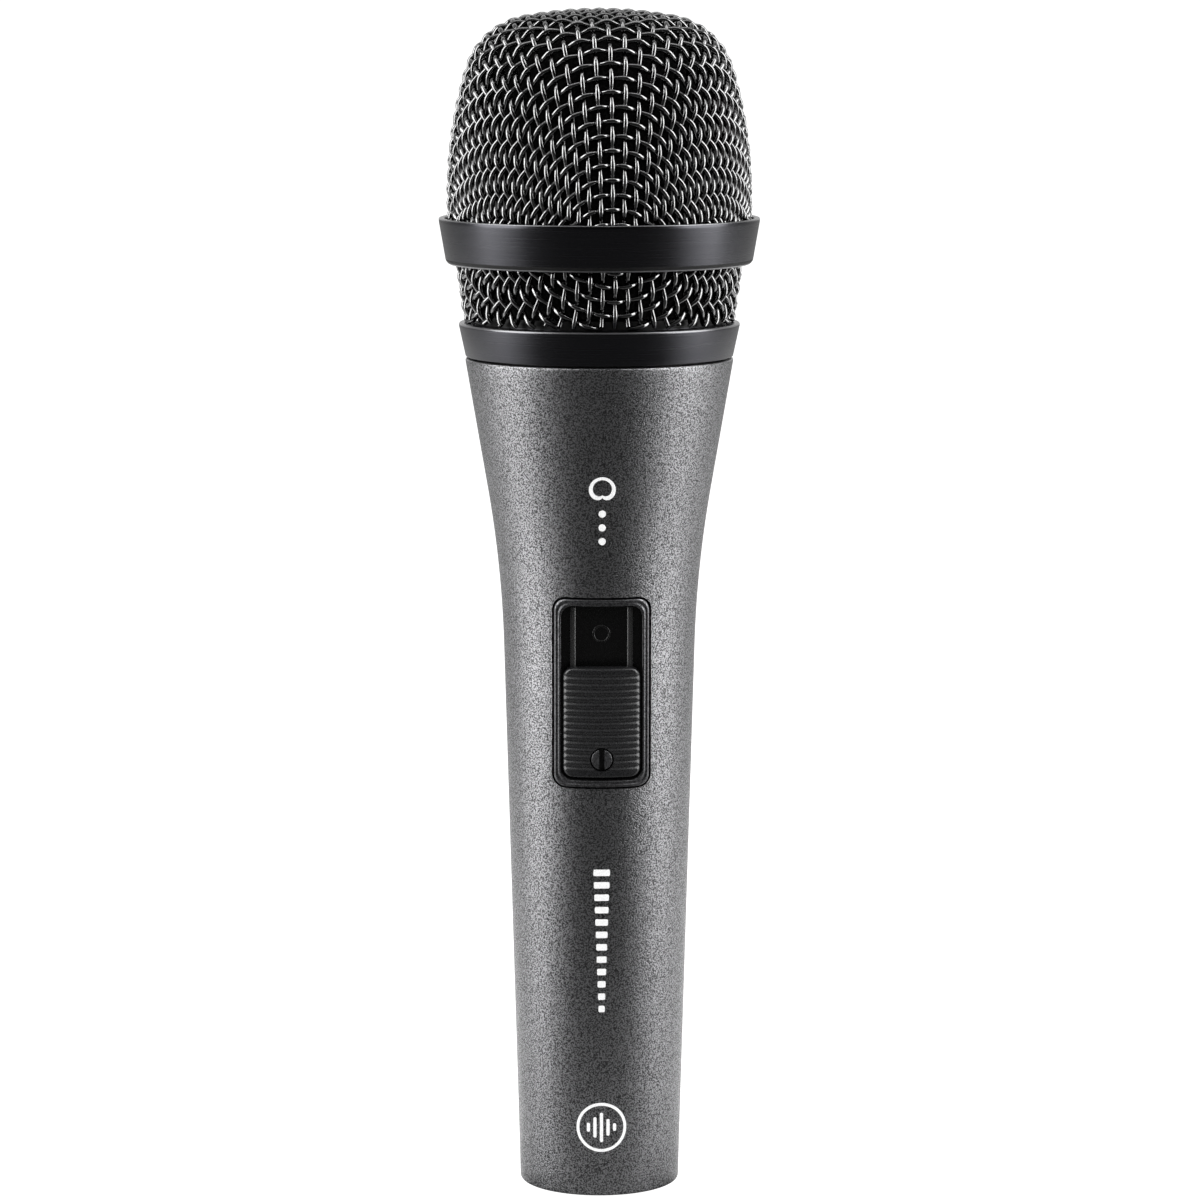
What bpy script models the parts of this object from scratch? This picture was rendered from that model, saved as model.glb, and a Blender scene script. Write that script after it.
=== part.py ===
"""Handheld dynamic microphone with a slide switch, standing on its connector end.

Metres, +Z up along the axis from the connector to the grille. The origin is the centre of
the flat rim that it stands on, and the switch faces -Y. Every size is a named value below.
"""

import math

import bmesh
import bpy
from mathutils import Matrix, Vector

MM = 0.001
GAP = 0.3 * MM
ROUND = 40
SMALL_ROUND = 16

# Handle: a long lower cone, a curve, and a steeper upper cone that ends under the head
HANDLE_LENGTH = 127.4 * MM
HANDLE_LOWER_SLOPE = 0.0283
HANDLE_UPPER_SLOPE = 0.172
HANDLE_UPPER_LENGTH = 31.7 * MM
HANDLE_CURVE = 12.0 * MM
HANDLE_WALL = 2.4 * MM
SOCKET_RADIUS = 9.5 * MM
SOCKET_WALL = 2.7 * MM
BASE_EDGE = 0.5 * MM
TOP_EDGE = 0.35 * MM

# Screw joint between head and handle
NECK_STEP = 1.7 * MM
NECK_WALL = 2.6 * MM
NECK_HEIGHT = 3.8 * MM
SEAL_HEIGHT = 0.5 * MM
SEAL_WIDTH = 1.3 * MM

# Head
COLLAR_HEIGHT = 5.1 * MM
COLLAR_STEP = 0.1 * MM
COLLAR_FLARE = 1.1 * MM
COLLAR_LIP_WIDTH = 1.6 * MM
COLLAR_LIP_HEIGHT = 1.9 * MM
MESH_THICKNESS = 1.55 * MM
BAND_STEP = 0.75 * MM
BAND_FLARE = 1.2 * MM
BAND_VISIBLE_HEIGHT = 8.8 * MM
RING_HEIGHT = 7.0 * MM
RING_TOP_LIP = 1.15 * MM
RING_BOTTOM_LIP = 1.4 * MM
RING_WEB_STEP = 0.2 * MM
RING_WEB_HEIGHT = 2.0 * MM
RING_POCKET = 2.4 * MM
RING_EDGE = 0.5 * MM
DOME_RADIUS = 23.1 * MM
DOME_VISIBLE_HEIGHT = 31.4 * MM
DOME_SIDE_START = 3.4 * MM
DOME_SIDE_CURVE = 66.0 * MM
DOME_SHOULDER = 11.3 * MM
DOME_CROWN = 62.0 * MM
FOAM_THICKNESS = 2.5 * MM

# Slide switch, in a frame of its own whose origin is on the handle's face
SWITCH_BELOW_CORNER = 17.7 * MM
BEZEL_WIDTH = 14.3 * MM
BEZEL_LENGTH = 28.6 * MM
BEZEL_CORNER = 1.7 * MM
BEZEL_RIM = 1.05 * MM
BEZEL_PROUD = 0.35 * MM
BEZEL_DEPTH = 3.0 * MM
SLIDER_LENGTH = 16.7 * MM
SLIDER_SIDE_GAP = 0.3 * MM
SLIDER_END_GAP = 0.4 * MM
SLIDER_CORNER = 1.5 * MM
SLIDER_PROUD = 0.45 * MM
SLIDER_DEPTH = 2.1 * MM
GUIDE_THICKNESS = 1.0 * MM
RAIL_WIDTH = 0.9 * MM
RAIL_FROM_SIDE = 2.8 * MM
LOCK_RADIUS = 1.6 * MM
LOCK_FROM_END = 2.8 * MM
LOCK_SLOT_WIDTH = 0.9 * MM
LOCK_SLOT_DEPTH = 0.7 * MM
SLIDER_MAGNET = Vector((6.0, 1.1, 5.0)) * MM
REED_RADIUS = 0.9 * MM
REED_LENGTH = 14.0 * MM
BOARD_WIDTH = 10.0 * MM
BOARD_SHORTER = 1.6 * MM
BOARD_THICKNESS = 1.0 * MM
POST_RADIUS = 1.9 * MM
POST_HEIGHT = 2.1 * MM
POST_FROM_END = 2.6 * MM
SCREW_RADIUS = 0.8 * MM
SCREW_HEAD_RADIUS = 1.5 * MM
SCREW_HEAD_HEIGHT = 1.0 * MM

# Moving-coil capsule
CAPSULE_WALL = 1.1 * MM
CAPSULE_LENGTH = 27.0 * MM
CAPSULE_ABOVE_NECK = 13.8 * MM
CAP_HEIGHT = 2.4 * MM
CAP_HOLES = 8
CAP_HOLE_RADIUS = 1.2 * MM
DIAPHRAGM_THICKNESS = 0.4 * MM
DIAPHRAGM_DOME = 0.9 * MM
DIAPHRAGM_DEPTH = 1.0 * MM
COIL_INNER_RADIUS = 5.2 * MM
COIL_WALL = 0.7 * MM
COIL_HEIGHT = 3.7 * MM
POLE_HEIGHT = 2.2 * MM
MAGNET_HEIGHT = 5.0 * MM
YOKE_FLOOR = 2.4 * MM
FELT_HEIGHT = 1.2 * MM
FELT_HOLE = 2.5 * MM
CARRIER_HEIGHT = 10.0 * MM
CARRIER_WALL = 1.6 * MM
MOUNT_WALL = 2.5 * MM
MOUNT_HEIGHT = 8.0 * MM
CHAMBER_STEP = 2.0 * MM
CHAMBER_LENGTH = 16.0 * MM
CHAMBER_WALL = 1.0 * MM
LEAD_RADIUS = 0.45 * MM
LEAD_SPACING = 5.0 * MM

# Transformer and the three-pin connector in the base
TRANSFORMER_RADIUS = 7.5 * MM
TRANSFORMER_LENGTH = 18.0 * MM
TRANSFORMER_ABOVE_PINS = 5.0 * MM
CABLE_RADIUS = 1.1 * MM
SOCKET_DEPTH = 14.5 * MM
SOCKET_EDGE = 0.3 * MM
KEYWAY_WIDTH = 3.2 * MM
KEYWAY_DEPTH = 0.9 * MM
INSERT_HEIGHT = 7.5 * MM
PIN_RADIUS = 1.2 * MM
PIN_RECESS = 2.5 * MM
PIN_TAIL = 4.0 * MM
PIN_SIDE = 3.6 * MM
PIN_RAISE = 0.6 * MM
CONTACT_WIDTH = 2.5 * MM
CONTACT_THICKNESS = 0.5 * MM
SET_SCREW_RADIUS = 1.2 * MM
SET_SCREW_LENGTH = 2.4 * MM

# Sizes and places that follow
HANDLE_BASE_RADIUS = SOCKET_RADIUS + SOCKET_WALL
HANDLE_CORNER = HANDLE_LENGTH - HANDLE_UPPER_LENGTH
SWITCH_HEIGHT = HANDLE_CORNER - SWITCH_BELOW_CORNER


def handle_radius(height):
    """Outer radius: two cones, joined by a curve that is tangent to both."""
    from_corner = height - HANDLE_CORNER
    radius = HANDLE_BASE_RADIUS + HANDLE_LOWER_SLOPE * height
    steeper = HANDLE_UPPER_SLOPE - HANDLE_LOWER_SLOPE
    if from_corner > HANDLE_CURVE:
        return radius + steeper * from_corner
    if from_corner > -HANDLE_CURVE:
        return radius + steeper * (from_corner + HANDLE_CURVE) ** 2 / (4 * HANDLE_CURVE)
    return radius


HANDLE_TOP_RADIUS = handle_radius(HANDLE_LENGTH)
NECK_RADIUS = HANDLE_TOP_RADIUS - NECK_STEP
NECK_BORE = NECK_RADIUS - NECK_WALL
NECK_TOP = HANDLE_LENGTH + NECK_HEIGHT
COLLAR_BOTTOM_RADIUS = HANDLE_TOP_RADIUS - COLLAR_STEP
COLLAR_TOP_RADIUS = COLLAR_BOTTOM_RADIUS + COLLAR_FLARE
BAND_BOTTOM_RADIUS = COLLAR_TOP_RADIUS - BAND_STEP
BAND_TOP_RADIUS = BAND_BOTTOM_RADIUS + BAND_FLARE
COLLAR_SLEEVE_RADIUS = BAND_BOTTOM_RADIUS - MESH_THICKNESS - GAP
COLLAR_LIP_RADIUS = COLLAR_SLEEVE_RADIUS - COLLAR_LIP_WIDTH
RING_TOP_RADIUS = DOME_RADIUS + RING_TOP_LIP
RING_BOTTOM_RADIUS = BAND_TOP_RADIUS + RING_BOTTOM_LIP
RING_WEB_RADIUS = min(DOME_RADIUS, BAND_TOP_RADIUS) - MESH_THICKNESS - RING_WEB_STEP
COLLAR_BOTTOM = HANDLE_LENGTH + GAP
COLLAR_TOP = COLLAR_BOTTOM + COLLAR_HEIGHT
SEAL_BOTTOM = NECK_TOP + GAP
LIP_BOTTOM = SEAL_BOTTOM + SEAL_HEIGHT + GAP
LIP_TOP = LIP_BOTTOM + COLLAR_LIP_HEIGHT
RING_BOTTOM = COLLAR_TOP + BAND_VISIBLE_HEIGHT
RING_TOP = RING_BOTTOM + RING_HEIGHT
RING_WEB_BOTTOM = RING_BOTTOM + RING_POCKET
RING_WEB_TOP = RING_WEB_BOTTOM + RING_WEB_HEIGHT
DOME_TOP = RING_TOP + DOME_VISIBLE_HEIGHT
INSERT_TOP = SOCKET_DEPTH + INSERT_HEIGHT
CAPSULE_RADIUS = NECK_BORE - MOUNT_WALL - CARRIER_WALL - 3 * GAP
CAPSULE_TOP = NECK_TOP + CAPSULE_ABOVE_NECK
CAPSULE_BOTTOM = CAPSULE_TOP - CAPSULE_LENGTH
CHAMBER_RADIUS = CAPSULE_RADIUS - CHAMBER_STEP
TRANSFORMER_BOTTOM = INSERT_TOP + PIN_TAIL + TRANSFORMER_ABOVE_PINS
RAIL_SPACING = BEZEL_WIDTH - 2 * RAIL_FROM_SIDE
BOARD_LENGTH = BEZEL_LENGTH - BOARD_SHORTER
GUIDE_DEPTH = BEZEL_DEPTH + GAP
GUIDE_BACK = GUIDE_DEPTH + GUIDE_THICKNESS
POST_END = GUIDE_BACK + POST_HEIGHT
BOARD_DEPTH = POST_END + GAP
SLIDER_REST = -BEZEL_LENGTH / 2 + BEZEL_RIM + SLIDER_END_GAP + SLIDER_LENGTH / 2


# ---------------------------------------------------------------- scene and materials


def clear_scene():
    for thing in list(bpy.data.objects):
        bpy.data.objects.remove(thing, do_unlink=True)


def new_collection(name):
    collection = bpy.data.collections.new(name)
    bpy.context.scene.collection.children.link(collection)
    return collection


def material(name, colour, metallic, roughness):
    made = bpy.data.materials.new(name)
    made.use_nodes = True
    shader = made.node_tree.nodes["Principled BSDF"]
    shader.inputs["Base Color"].default_value = (*colour, 1.0)
    shader.inputs["Metallic"].default_value = metallic
    shader.inputs["Roughness"].default_value = roughness
    return made


clear_scene()
PIECES = new_collection("microphone")
CUTTERS = new_collection("cutters")
CUTTERS.hide_render = True

PAINT = material("speckled_grey_paint", (0.16, 0.16, 0.17), 0.6, 0.5)
BLACK_METAL = material("black_metal", (0.02, 0.02, 0.02), 0.7, 0.35)
BLACK_PLASTIC = material("black_plastic", (0.03, 0.03, 0.03), 0.0, 0.45)
DARK_FOAM = material("dark_foam", (0.01, 0.01, 0.01), 0.0, 0.95)
RUBBER = material("rubber", (0.02, 0.02, 0.02), 0.0, 0.8)
STEEL = material("steel", (0.55, 0.55, 0.56), 1.0, 0.3)
MAGNET_METAL = material("magnet_metal", (0.35, 0.35, 0.37), 1.0, 0.25)
COPPER = material("enamelled_copper", (0.6, 0.25, 0.12), 1.0, 0.35)
FILM = material("clear_film", (0.75, 0.72, 0.6), 0.0, 0.2)
FELT = material("grey_felt", (0.3, 0.3, 0.3), 0.0, 0.95)
GLASS = material("switch_glass", (0.6, 0.75, 0.7), 0.0, 0.1)
GREEN_BOARD = material("green_board", (0.03, 0.2, 0.07), 0.0, 0.4)
BRASS = material("plated_brass", (0.75, 0.62, 0.3), 1.0, 0.25)
RED_WIRE = material("red_wire", (0.5, 0.03, 0.03), 0.0, 0.4)
WHITE_WIRE = material("white_wire", (0.7, 0.7, 0.68), 0.0, 0.4)


# ---------------------------------------------------------------- ways of making a piece


def place(name, mesh, look, parent=None, location=(0, 0, 0), collection=PIECES):
    """An object in its collection; look None makes it a cutter."""
    made = bpy.data.objects.new(name, mesh)
    collection.objects.link(made)
    made.parent = parent
    made.location = location
    if look is None:
        made.hide_render = True
        made.display_type = "WIRE"
    else:
        mesh.materials.append(look)
    return made


def turned(name, outline, look, segments=ROUND, collection=PIECES):
    """Turns (radius, height) points about Z. They run down the outer side and up the inner one."""
    on_axis = outline[0][0] == 0 and outline[-1][0] == 0
    mesh = bpy.data.meshes.new(name)
    count = len(outline)
    edges = [(i, i + 1) for i in range(count - 1)]
    if not on_axis:
        edges.append((count - 1, 0))
    mesh.from_pydata([(radius, 0, height) for radius, height in outline], edges, [])
    made = place(name, mesh, look, collection=collection)
    screw = made.modifiers.new("turn", "SCREW")
    screw.axis = "Z"
    screw.angle = 2 * math.pi
    screw.steps = segments
    screw.render_steps = segments
    screw.use_merge_vertices = True
    screw.merge_threshold = 0.00002
    screw.use_smooth_shade = True
    return made


def ring_outline(inner, outer, bottom, top):
    return [(outer, top), (outer, bottom), (inner, bottom), (inner, top)]


def disc_outline(radius, bottom, top):
    return [(0, top), (radius, top), (radius, bottom), (0, bottom)]


def block_mesh(name, size, corner=0.0, axis=1):
    """A box about its own centre, with the edges along one axis rounded."""
    mesh = bpy.data.meshes.new(name)
    shape = bmesh.new()
    bmesh.ops.create_cube(shape, size=1.0)
    bmesh.ops.scale(shape, vec=size, verts=shape.verts)
    if corner:
        along = [
            edge
            for edge in shape.edges
            if abs((edge.verts[0].co - edge.verts[1].co)[axis]) > size[axis] / 2
        ]
        bmesh.ops.bevel(
            shape, geom=along, offset=corner, segments=4, profile=0.5, affect="EDGES", material=-1
        )
    shape.to_mesh(mesh)
    shape.free()
    return mesh


def rod_mesh(name, radius, length, axis="Z", segments=SMALL_ROUND):
    """A cylinder about its own centre, along one axis."""
    mesh = bpy.data.meshes.new(name)
    shape = bmesh.new()
    bmesh.ops.create_cone(
        shape, cap_ends=True, segments=segments, radius1=radius, radius2=radius, depth=length
    )
    turn = {"X": Matrix.Rotation(math.pi / 2, 3, "Y"), "Y": Matrix.Rotation(math.pi / 2, 3, "X")}
    if axis in turn:
        bmesh.ops.rotate(shape, cent=(0, 0, 0), matrix=turn[axis], verts=shape.verts)
    shape.to_mesh(mesh)
    shape.free()
    return mesh


def combine(piece, tool, operation):
    step = piece.modifiers.new(tool.name, "BOOLEAN")
    step.operation = operation
    step.solver = "EXACT"
    step.object = tool


def wire(name, start, end, leave, arrive, radius, look, points=9):
    """A lead on one smooth curve between two ends, leaving and arriving along given directions."""
    reach = (Vector(end) - Vector(start)).length / 3
    controls = [
        Vector(start),
        Vector(start) + reach * Vector(leave),
        Vector(end) - reach * Vector(arrive),
        Vector(end),
    ]
    curve = bpy.data.curves.new(name, "CURVE")
    curve.dimensions = "3D"
    curve.bevel_depth = radius
    curve.bevel_resolution = 2
    curve.use_fill_caps = True
    spline = curve.splines.new("POLY")
    spline.points.add(points - 1)
    for i, point in enumerate(spline.points):
        t = i / (points - 1)
        weights = ((1 - t) ** 3, 3 * t * (1 - t) ** 2, 3 * t * t * (1 - t), t**3)
        at = sum((w * control for w, control in zip(weights, controls)), Vector())
        point.co = (*at, 1)
    return place(name, curve, look)


# ---------------------------------------------------------------- shape of the handle


def bore_radius(height):
    return min(handle_radius(height) - HANDLE_WALL, NECK_BORE)


def make_handle():
    bend = [HANDLE_CORNER + HANDLE_CURVE * step / 3 for step in range(3, -4, -1)]
    outline = [
        (NECK_RADIUS - TOP_EDGE, NECK_TOP),
        (NECK_RADIUS, NECK_TOP - TOP_EDGE),
        (NECK_RADIUS, HANDLE_LENGTH),
        (HANDLE_TOP_RADIUS - TOP_EDGE, HANDLE_LENGTH),
        (HANDLE_TOP_RADIUS, HANDLE_LENGTH - TOP_EDGE),
    ]
    outline += [(handle_radius(height), height) for height in bend]
    outline += [
        (handle_radius(BASE_EDGE), BASE_EDGE),
        (handle_radius(0) - BASE_EDGE, 0),
        (SOCKET_RADIUS + SOCKET_EDGE, 0),
        (SOCKET_RADIUS, SOCKET_EDGE),
        (SOCKET_RADIUS, INSERT_TOP + GAP),
        (bore_radius(INSERT_TOP + GAP), INSERT_TOP + GAP),
    ]
    outline += [(bore_radius(height), height) for height in reversed(bend)]
    reach_neck = (NECK_BORE + HANDLE_WALL - handle_radius(bend[0])) / HANDLE_UPPER_SLOPE
    if reach_neck > GAP:
        outline.append((NECK_BORE, bend[0] + reach_neck))
    outline.append((NECK_BORE, NECK_TOP))
    return turned("handle_body", outline, PAINT)


def cut_keyway(handle):
    """The slot in the socket wall that guides the plug's latch."""
    size = Vector((KEYWAY_WIDTH, 2 * KEYWAY_DEPTH, 2 * SOCKET_DEPTH - 2 * GAP))
    cutter = place(
        "keyway_cutter",
        block_mesh("keyway_cutter", size),
        None,
        location=(0, SOCKET_RADIUS, 0),
        collection=CUTTERS,
    )
    combine(handle, cutter, "DIFFERENCE")


def cut_set_screw_hole(handle, height):
    length = 3 * HANDLE_WALL
    cutter = place(
        "set_screw_cutter",
        rod_mesh("set_screw_cutter", SET_SCREW_RADIUS + GAP, length, "Y"),
        None,
        location=(0, SOCKET_RADIUS + length / 2 - GAP, height),
        collection=CUTTERS,
    )
    combine(handle, cutter, "DIFFERENCE")
    place(
        "insert_set_screw",
        rod_mesh("insert_set_screw", SET_SCREW_RADIUS, SET_SCREW_LENGTH, "Y"),
        STEEL,
        location=(0, SOCKET_RADIUS + SET_SCREW_LENGTH / 2, height),
    )


# ---------------------------------------------------------------- connector


def make_connector():
    insert = place(
        "xlr_insert",
        rod_mesh("xlr_insert", SOCKET_RADIUS - GAP, INSERT_HEIGHT, segments=ROUND),
        BLACK_PLASTIC,
        location=(0, 0, SOCKET_DEPTH + INSERT_HEIGHT / 2),
    )
    length = INSERT_TOP + PIN_TAIL - PIN_RECESS
    centre = PIN_RECESS + length / 2
    places = ((-PIN_SIDE, PIN_RAISE), (PIN_SIDE, PIN_RAISE), (0, -PIN_SIDE))
    for number, (x, y) in enumerate(places, start=1):
        pin = f"xlr_pin_{number}"
        body = place(pin, rod_mesh(pin, PIN_RADIUS, length), BRASS, location=(x, y, centre))
        tip = body.modifiers.new("round tip", "BEVEL")
        tip.width = PIN_RADIUS / 3
        tip.segments = 2
        tip.limit_method = "ANGLE"
        cutter = place(
            f"{pin}_cutter",
            rod_mesh(f"{pin}_cutter", PIN_RADIUS + GAP, 2 * length),
            None,
            location=(x, y, centre),
            collection=CUTTERS,
        )
        combine(insert, cutter, "DIFFERENCE")
    inner = PIN_SIDE + PIN_RADIUS + GAP
    outer = bore_radius(INSERT_TOP) - 2 * GAP
    strip = Vector((outer - inner, CONTACT_WIDTH, CONTACT_THICKNESS))
    place(
        "ground_contact",
        block_mesh("ground_contact", strip),
        BRASS,
        location=(-(inner + outer) / 2, PIN_RAISE, INSERT_TOP + 2 * GAP + CONTACT_THICKNESS / 2),
    )


# ---------------------------------------------------------------- head


def circles_meet(first, first_radius, second, second_radius):
    """The crossing of two circles that lies farther from the axis and higher."""
    across = second - first
    distance = across.length
    along = (first_radius**2 - second_radius**2 + distance**2) / (2 * distance)
    aside = math.sqrt(first_radius**2 - along**2)
    unit = across / distance
    foot = first + along * unit
    normal = Vector((-unit.y, unit.x))
    return max((foot + aside * normal, foot - aside * normal), key=lambda point: point.x + point.y)


def arc(centre, radius, start, end, steps):
    """Points on an arc, from one angle to another, without its first point."""
    angles = [start + (end - start) * step / steps for step in range(1, steps + 1)]
    return [(centre.x + radius * math.cos(a), centre.y + radius * math.sin(a)) for a in angles]


def dome_outline(inset, bottom):
    """The dome's side, from its crown down to a height, moved inwards by a distance."""
    crown = Vector((0, DOME_TOP - DOME_CROWN))
    side = Vector((DOME_RADIUS - DOME_SIDE_CURVE, RING_TOP + DOME_SIDE_START))
    shoulder = circles_meet(
        crown, DOME_CROWN - DOME_SHOULDER, side, DOME_SIDE_CURVE - DOME_SHOULDER
    )
    leave_crown = (shoulder - crown).angle_signed(Vector((1, 0)))
    leave_shoulder = (shoulder - side).angle_signed(Vector((1, 0)))
    outline = [(0, DOME_TOP - inset)]
    outline += arc(crown, DOME_CROWN - inset, math.pi / 2, leave_crown, 3)
    outline += arc(shoulder, DOME_SHOULDER - inset, leave_crown, leave_shoulder, 5)
    outline += arc(side, DOME_SIDE_CURVE - inset, leave_shoulder, 0, 3)
    outline.append((DOME_RADIUS - inset, bottom))
    return outline


def make_dome():
    bottom = RING_WEB_TOP + GAP
    outside = dome_outline(0, bottom)
    inside = dome_outline(MESH_THICKNESS, bottom)
    turned("grille_dome", outside + inside[::-1], BLACK_METAL)


def make_band():
    bottom = COLLAR_TOP + GAP
    top = RING_WEB_BOTTOM - GAP
    outline = [
        (BAND_TOP_RADIUS, top),
        (BAND_TOP_RADIUS, RING_BOTTOM - GAP),
        (BAND_BOTTOM_RADIUS, bottom),
        (BAND_BOTTOM_RADIUS - MESH_THICKNESS, bottom),
        (BAND_TOP_RADIUS - MESH_THICKNESS, RING_BOTTOM - GAP),
        (BAND_TOP_RADIUS - MESH_THICKNESS, top),
    ]
    turned("grille_band", outline, BLACK_METAL)


def make_ring():
    dome_pocket = DOME_RADIUS + GAP
    band_pocket = BAND_TOP_RADIUS + GAP
    outline = [
        (dome_pocket, RING_TOP - RING_EDGE / 2),
        (dome_pocket + GAP, RING_TOP),
        (RING_TOP_RADIUS - RING_EDGE / 2, RING_TOP),
        (RING_TOP_RADIUS, RING_TOP - RING_EDGE),
        (RING_BOTTOM_RADIUS, RING_BOTTOM + RING_EDGE),
        (RING_BOTTOM_RADIUS - RING_EDGE, RING_BOTTOM),
        (band_pocket, RING_BOTTOM),
        (band_pocket, RING_WEB_BOTTOM),
        (RING_WEB_RADIUS, RING_WEB_BOTTOM),
        (RING_WEB_RADIUS, RING_WEB_TOP),
        (dome_pocket, RING_WEB_TOP),
    ]
    turned("grille_ring", outline, BLACK_METAL)


def make_collar():
    outline = [
        (COLLAR_SLEEVE_RADIUS, LIP_TOP),
        (COLLAR_SLEEVE_RADIUS, COLLAR_TOP),
        (COLLAR_TOP_RADIUS - TOP_EDGE, COLLAR_TOP),
        (COLLAR_TOP_RADIUS, COLLAR_TOP - TOP_EDGE),
        (COLLAR_BOTTOM_RADIUS, COLLAR_BOTTOM + TOP_EDGE),
        (COLLAR_BOTTOM_RADIUS - TOP_EDGE, COLLAR_BOTTOM),
        (NECK_RADIUS + GAP, COLLAR_BOTTOM),
        (NECK_RADIUS + GAP, LIP_BOTTOM),
        (COLLAR_LIP_RADIUS, LIP_BOTTOM),
        (COLLAR_LIP_RADIUS, LIP_TOP),
    ]
    turned("grille_collar", outline, BLACK_METAL)
    seal = ring_outline(
        NECK_RADIUS - SEAL_WIDTH, NECK_RADIUS, SEAL_BOTTOM, SEAL_BOTTOM + SEAL_HEIGHT
    )
    turned("grille_seal", seal, RUBBER)


def make_foam():
    """One moulded cup behind the wires, drawn in where it passes the ring's web."""
    bottom = LIP_TOP + GAP
    waist = RING_WEB_RADIUS - GAP
    foot = BAND_BOTTOM_RADIUS - MESH_THICKNESS - GAP
    behind_mesh = MESH_THICKNESS + GAP
    swell = RING_WEB_TOP + 2 * GAP
    outside = dome_outline(behind_mesh, swell + FOAM_THICKNESS)
    outside += [(waist, swell), (waist, RING_WEB_BOTTOM), (foot, bottom)]
    inside = dome_outline(behind_mesh + FOAM_THICKNESS, swell + FOAM_THICKNESS)
    inside += [
        (waist - FOAM_THICKNESS, swell + FOAM_THICKNESS / 2),
        (waist - FOAM_THICKNESS, RING_WEB_BOTTOM),
        (foot - FOAM_THICKNESS, bottom),
    ]
    turned("foam_liner", outside + inside[::-1], DARK_FOAM, SMALL_ROUND * 2)


# ---------------------------------------------------------------- capsule


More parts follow.
